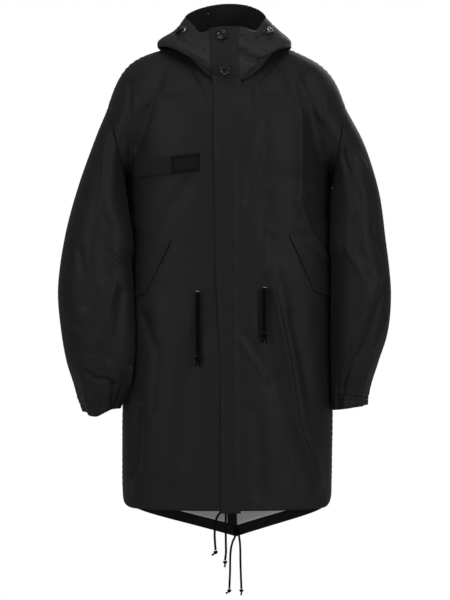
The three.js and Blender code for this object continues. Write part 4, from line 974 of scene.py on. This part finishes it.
def noise_grain(scale, detail, space, strength, distance):
    """A pattern of random grain: noise of a scale on UV or Object coordinates, and its bump."""
    def pattern(tree, place):
        noise = add_node(tree, "ShaderNodeTexNoise", {"Scale": scale, "Detail": detail},
                         {"Vector": place[space]})
        bump = add_node(tree, "ShaderNodeBump", {"Strength": strength, "Distance": distance},
                        {"Height": noise.outputs["Fac"]})
        return noise.outputs["Fac"], bump

    return pattern


# very matt loops, their fine random grain drawn about 1 mm wide
pile_looks = {"nylon_loop_tape": ("#171717", "#2d2d2d"), "dense_loop_tape": ("#0d0d0d", "#1b1b1b"),
              "flat_tape_pad": ("#141414", "#232323")}
piles = [soft_material(name, *colours, 0.95, 0.1, noise_grain(900.0, 2.0, "UV", 0.8, 0.0005))
         for name, colours in pile_looks.items()]
tape_points, _ = trim_grid(straight(TAPE["low_in"], TAPE["low_out"]),
                           straight(TAPE["top_in"], TAPE["top_out"]),
                           lambda u, v: FLAP_WALL + TRIM_GAP - 0.5 * np.exp(-np.minimum(v, 1 - v) / 0.05))
tape = cloth_piece("chest_tape_pile", tape_points, piles[0], "chest_tape", 1,
                   thickness=FLAP_WALL)
for pile in piles[1:]:
    tape.data.materials.append(pile)
tape_rows, tape_columns = (n - 1 for n in tape_points.shape[:2])
face_v, face_u = np.mgrid[0:tape_rows, 0:tape_columns]
face_u, face_v = (face_u + 0.5) / tape_columns, (face_v + 0.5) / tape_rows  # u runs towards +X
kinds = np.where(face_u > 0.57, 1, 0)
kinds[(face_u > 0.62) & (face_u < 0.95) & (face_v > 0.2) & (face_v < 0.8)] = 2
indices = np.zeros(len(tape.data.polygons), int)
indices[: kinds.size] = kinds.ravel()
tape.data.polygons.foreach_set("material_index", indices)


# Facing, vent facing and lining inside the back.
# A black band sewn inside the fishtail's hem and along the vent, and above it the light grey lining,
# smooth polyester, loose enough to wave a little.
def crinkled(strength):
    """Soft crinkles: strong in the lining's satin, weaker in the facing's flat black."""
    return noise_grain(30.0, 4.0, "Object", strength, 0.002)


facing_cloth = soft_material("black_cotton_facing", "#0b0b0c", "#121214", 0.7, 0.25, crinkled(0.3))
lining_cloth = soft_material("light_grey_polyester_lining", "#c4c5ca", "#dcdde1", 0.45, 0.4, crinkled(0.6))
FACING_RISE, VENT_WIDE, LINING_RISE, JOIN = 0.022, 0.05, 0.149, 0.0003
BANDS = [  # name, node, side, s from and to, t from and to, material, slot, rows, waves mm
    ("hem_facing_cloth_right", "hem_facing_right", "right", 0.006, 0.985, 0, FACING_RISE - JOIN,
     facing_cloth,
     "facing_cloth", 8, 0.0),
    ("hem_facing_cloth_left", "hem_facing_left", "left", 0.006, 0.985, 0, FACING_RISE - JOIN, facing_cloth,
     "facing_cloth", 8, 0.0),
    ("vent_facing_cloth", "vent_facing", "right", 0.006, VENT_WIDE, FACING_RISE + JOIN, LINING_RISE,
     facing_cloth,
     "facing_cloth", 24, 0.0),
    ("lining_sheet_right", "lining_right", "right", VENT_WIDE + 0.001, 0.985, FACING_RISE + JOIN,
     LINING_RISE,
     lining_cloth, "lining_cloth", 30, 1.2),
    ("lining_sheet_left", "lining_left", "left", 0.006, 0.985, FACING_RISE + JOIN, LINING_RISE,
     lining_cloth,
     "lining_cloth", 30, 1.2),
]
for name, node, side, s_low, s_high, t_low, t_high, material, slot, rows, waves in BANDS:
    s, t = np.meshgrid(np.linspace(s_low, s_high, 90 if s_high > 0.5 else 8),
                       np.linspace(t_low, t_high, rows))
    points, normals = dressed_torso(side, "back", s, t)
    wave = waves * (1 + np.sin(34 * s + 5 * np.sin(9 * s))) * np.sin(math.pi * (t - t_low) / (t_high - t_low))
    points = points - normals * (2.5 + wave)[..., None]
    cloth_piece(name, points, material, node, -SIGNS[side], thickness=1.2)


# Topstitching.
# Black polyester thread in stitches of 2.7 mm: beside the flap's sewn edge with its turn at the bottom,
# across the flap at the neck, and below and above the snap buttons.
thread = soft_material("polyester_sewing_thread", "#2c2c2f", "#38383b", 0.5, 0.4, crinkled(0.1))
STITCH, STITCH_PITCH, STITCH_RADIUS = 2.7, 3.5, 0.42


def stitches(name, points, normals):
    """Stitches along a line of points: each a six-pointed slip of thread, its half on the cloth."""
    lengths = np.concatenate([[0], np.cumsum(np.linalg.norm(np.diff(points, axis=0), axis=1))])
    marks = np.arange(STITCH_PITCH / 2, lengths[-1] - STITCH_PITCH / 2, STITCH_PITCH)

    def at(d, rows):
        return np.stack([np.interp(d, lengths, rows[:, k]) for k in range(3)], axis=1)

    centre, up = at(marks, points), unit(at(marks, normals))
    way = unit(at(marks + 0.5, points) - at(marks - 0.5, points))
    side = np.cross(way, up)
    offsets = [way * STITCH / 2, side * STITCH_RADIUS, up * STITCH_RADIUS, -way * STITCH / 2,
               -side * STITCH_RADIUS, -up * STITCH_RADIUS]
    corners = np.stack([centre + up * 0.2 + offset for offset in offsets], axis=1).reshape(-1, 3)
    slip = np.array([(0, 1, 2), (1, 3, 2), (3, 4, 2), (4, 0, 2), (1, 0, 5), (3, 1, 5), (4, 3, 5),
                     (0, 4, 5)])
    faces = (slip[None] + 6 * np.arange(len(marks))[:, None, None]).reshape(-1, 3)[:, ::-1]
    row = put_mesh(name, corners / 1000, faces.tolist(), thread)
    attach(row, "root")
    return row


def nearest(points, normals, spots):
    """For (x, z) spots, the nearest points of a grid seen from the front, with their normals."""
    flat, out = points.reshape(-1, 3), normals.reshape(-1, 3)
    found = [int(np.argmin(np.hypot(flat[:, 0] - x, flat[:, 2] - z))) for x, z in spots]
    place = flat[found].copy()
    place[:, [0, 2]] = spots
    return place, out[found]


def along_route(spots, count):
    spots = np.asarray(spots, float)
    steps = np.concatenate([[0], np.cumsum(np.linalg.norm(np.diff(spots, axis=0), axis=1))])
    even = np.linspace(0, steps[-1], count)
    return np.stack([np.interp(even, steps, spots[:, k]) for k in range(2)], axis=1)


for name, spots in [
    ("stitch_flap_edge", [(19.5, -60), (19.5, -200), (19.5, -335), (17, -356), (11, -370), (4, -377)]),
    ("stitch_flap_neck", [(-30, -72), (12, -72)]),
    ("stitch_buttonhole_top", [(0, 30), (9, 30)]),
    ("stitch_buttonhole_neck", [(6, -44), (15, -44)]),
]:
    stitches(name, *nearest(flap_points, flap_normals, along_route(spots, 60)))


# Snap buttons at the throat.
# Two ring-shaped press-stud caps of gloss black plastic, 23 mm across, with a dished middle.
def surface_paint(name, colour, roughness, metallic, coat=0.0):
    """One even finish: gloss or satin plastic, or plated metal."""
    material = bpy.data.materials.new(name)
    material.use_nodes = True
    tree = material.node_tree
    tree.nodes.clear()
    shader = add_node(tree, "ShaderNodeBsdfPrincipled",
                      {"Base Color": to_linear(colour), "Roughness": roughness, "Metallic": metallic,
                       "Coat Weight": coat})
    add_node(tree, "ShaderNodeOutputMaterial", links={"Surface": shader.outputs[0]})
    return material


def turned(name, profile, centre, axis, material, node=None, slot=None, segments=56):
    """A profile of (radius, height) in mm turned round an axis at a centre; it starts and ends on the
    axis, or closes on itself."""
    axis = unit(np.asarray(axis, float))
    side = unit(np.cross(axis, [0.2, 0.1, 0.97]))
    other = np.cross(axis, side)
    profile = np.asarray(profile, float)
    round_about = np.arange(segments) / segments * 2 * math.pi
    ring = np.cos(round_about)[None, :, None] * side + np.sin(round_about)[None, :, None] * other
    points = centre + profile[:, 0][:, None, None] * ring + profile[:, 1][:, None, None] * axis
    rows = len(profile)
    faces = grid_faces(rows, segments, round_about=True)
    if np.allclose(profile[0], profile[-1]):
        faces = [[i % ((rows - 1) * segments) for i in face] for face in faces]
        points = points[:-1]
    else:
        faces += [list(range(segments))[::-1], list(range((rows - 1) * segments, rows * segments))]
    piece = put_mesh(name, points / 1000, faces, material)
    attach(piece, "root")
    if node:
        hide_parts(node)
    return piece


def rounded(profile, corner, count=4):
    """A profile with its inner corners cut by short quadratic curves."""
    points = [np.array(profile[0], float)]
    for a, b, c in zip(profile[:-2], profile[1:-1], profile[2:]):
        a, b, c = (np.array(p, float) for p in (a, b, c))
        first = b + unit(a - b) * min(corner, np.linalg.norm(a - b) * 0.45)
        last = b + unit(c - b) * min(corner, np.linalg.norm(c - b) * 0.45)
        for k in np.linspace(0, 1, count):
            points.append((1 - k) ** 2 * first + 2 * k * (1 - k) * b + k**2 * last)
    points.append(np.array(profile[-1], float))
    return points


def middle_of(node):
    low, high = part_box(node)
    return (np.array(low) + np.array(high)) * 500


gloss_black = surface_paint("gloss_black_snap_plastic", "#050506", 0.22, 0.0, 0.2)
BUTTON_PROFILE = rounded([(0.02, 0), (10.4, 0), (11.5, 1.8), (10.6, 3.9), (9.2, 4.2), (7.6, 3.2),
                          (6.4, 2.2),
                          (0.02, 1.9)], 0.7)
for name in ("button_top", "button_neck"):
    centre = middle_of(name)
    _, out = nearest(flap_points, flap_normals, [(centre[0], centre[2])])
    turned(f"{name}_cap", BUTTON_PROFILE, centre - out[0] * 2.1, out[0], gloss_black, name, "snap_plastic")


# Eyelets at the waist and on the hood.
# Rolled rings of bright nickel-plated brass, clenched through the cloth.
nickel = surface_paint("nickel_plated_brass", "#c9cacd", 0.2, 1.0)


def eyelet(name, node, radius, hole, height, out):
    """A rolled ring: half a round section between the hole and the rim, and a short collar inside."""
    middle, half = (radius + hole) / 2, (radius - hole) / 2
    turn = np.linspace(0, math.pi, 12)
    roll = [(middle + half * math.cos(a), height * math.sin(a)) for a in turn]
    turned(name, [*roll, (hole, -0.4), (radius, 0)], middle_of(node) - np.array(out) * height / 2, out,
           nickel,
           node, "eyelet_metal", 40)


for side in ("right", "left"):
    centre = middle_of(f"waist_eyelet_{side}")
    _, out = on_front(np.array([centre[0]]), np.array([centre[2]]))
    eyelet(f"waist_eyelet_ring_{side}", f"waist_eyelet_{side}", 4.6, 2.3, 1.4, out[0])


# Hood eyelets with barrel cord locks.
# A larger ring each side of the hood's mouth, and by it a black plastic barrel lock on the short end of
# the hood's drawcord.
matt_black = surface_paint("matt_black_lock_plastic", "#0d0d0f", 0.38, 0.0)
LOCKS = {  # ring's angle and share, lock's angle and share, slant in degrees, lean
    "right": (-64.5, 0.805, -63, 0.75, 0, 0.6),
    "left": (61, 0.82, 53, 0.79, -28, 0.3),
}
LOCK_LENGTH, LOCK_RADIUS, LOCK_GAP = 24, 4.2, 6
for side, (ring_angle, ring_share, angle, share, slant, lean) in LOCKS.items():
    seats, outs = dressed_hood(np.array([ring_angle, angle], float), np.array([ring_share, share], float))
    eyelet(f"hood_eyelet_ring_{side}", f"hood_eyelet_{side}", 7.6, 4.2, 2.0, outs[0])
    level = unit(np.cross(outs[1], [0, 0, 1]))
    rise = unit(np.cross(level, outs[1]))
    along = unit(level + rise * math.tan(math.radians(slant)) + outs[1] * lean * SIGNS[side])
    centre = seats[1] + outs[1] * (LOCK_RADIUS + LOCK_GAP)
    half = LOCK_LENGTH / 2
    barrel = [(0.02, -half), (2.8, -half), (3.9, -half + 1), (4.2, -half + 2.4), (3.7, -half + 3.2),
              (4.2, -half + 4), (4.2, -2.5), (3.8, -1.8), (3.8, 1.8), (4.2, 2.5), (4.2, half - 4),
              (3.7, half - 3.2), (4.2, half - 2.4), (3.9, half - 1), (2.8, half), (0.02, half)]
    turned(f"cord_lock_barrel_{side}", rounded(barrel, 0.5), centre, along, matt_black, f"cord_lock_{side}",
           "lock_plastic", 32)
    root = seats[0] + outs[0] * 0.6
    bend = root + outs[0] * 5.6
    stub, stub_faces, stub_uv = tube(through(np.array([root, (root + bend) / 2, bend, centre]) / 1000,
                                             30), 0.0018)
    short_end = put_mesh(f"hood_cord_stub_{side}", stub, stub_faces, cord_braid, stub_uv)
    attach(short_end, "root")
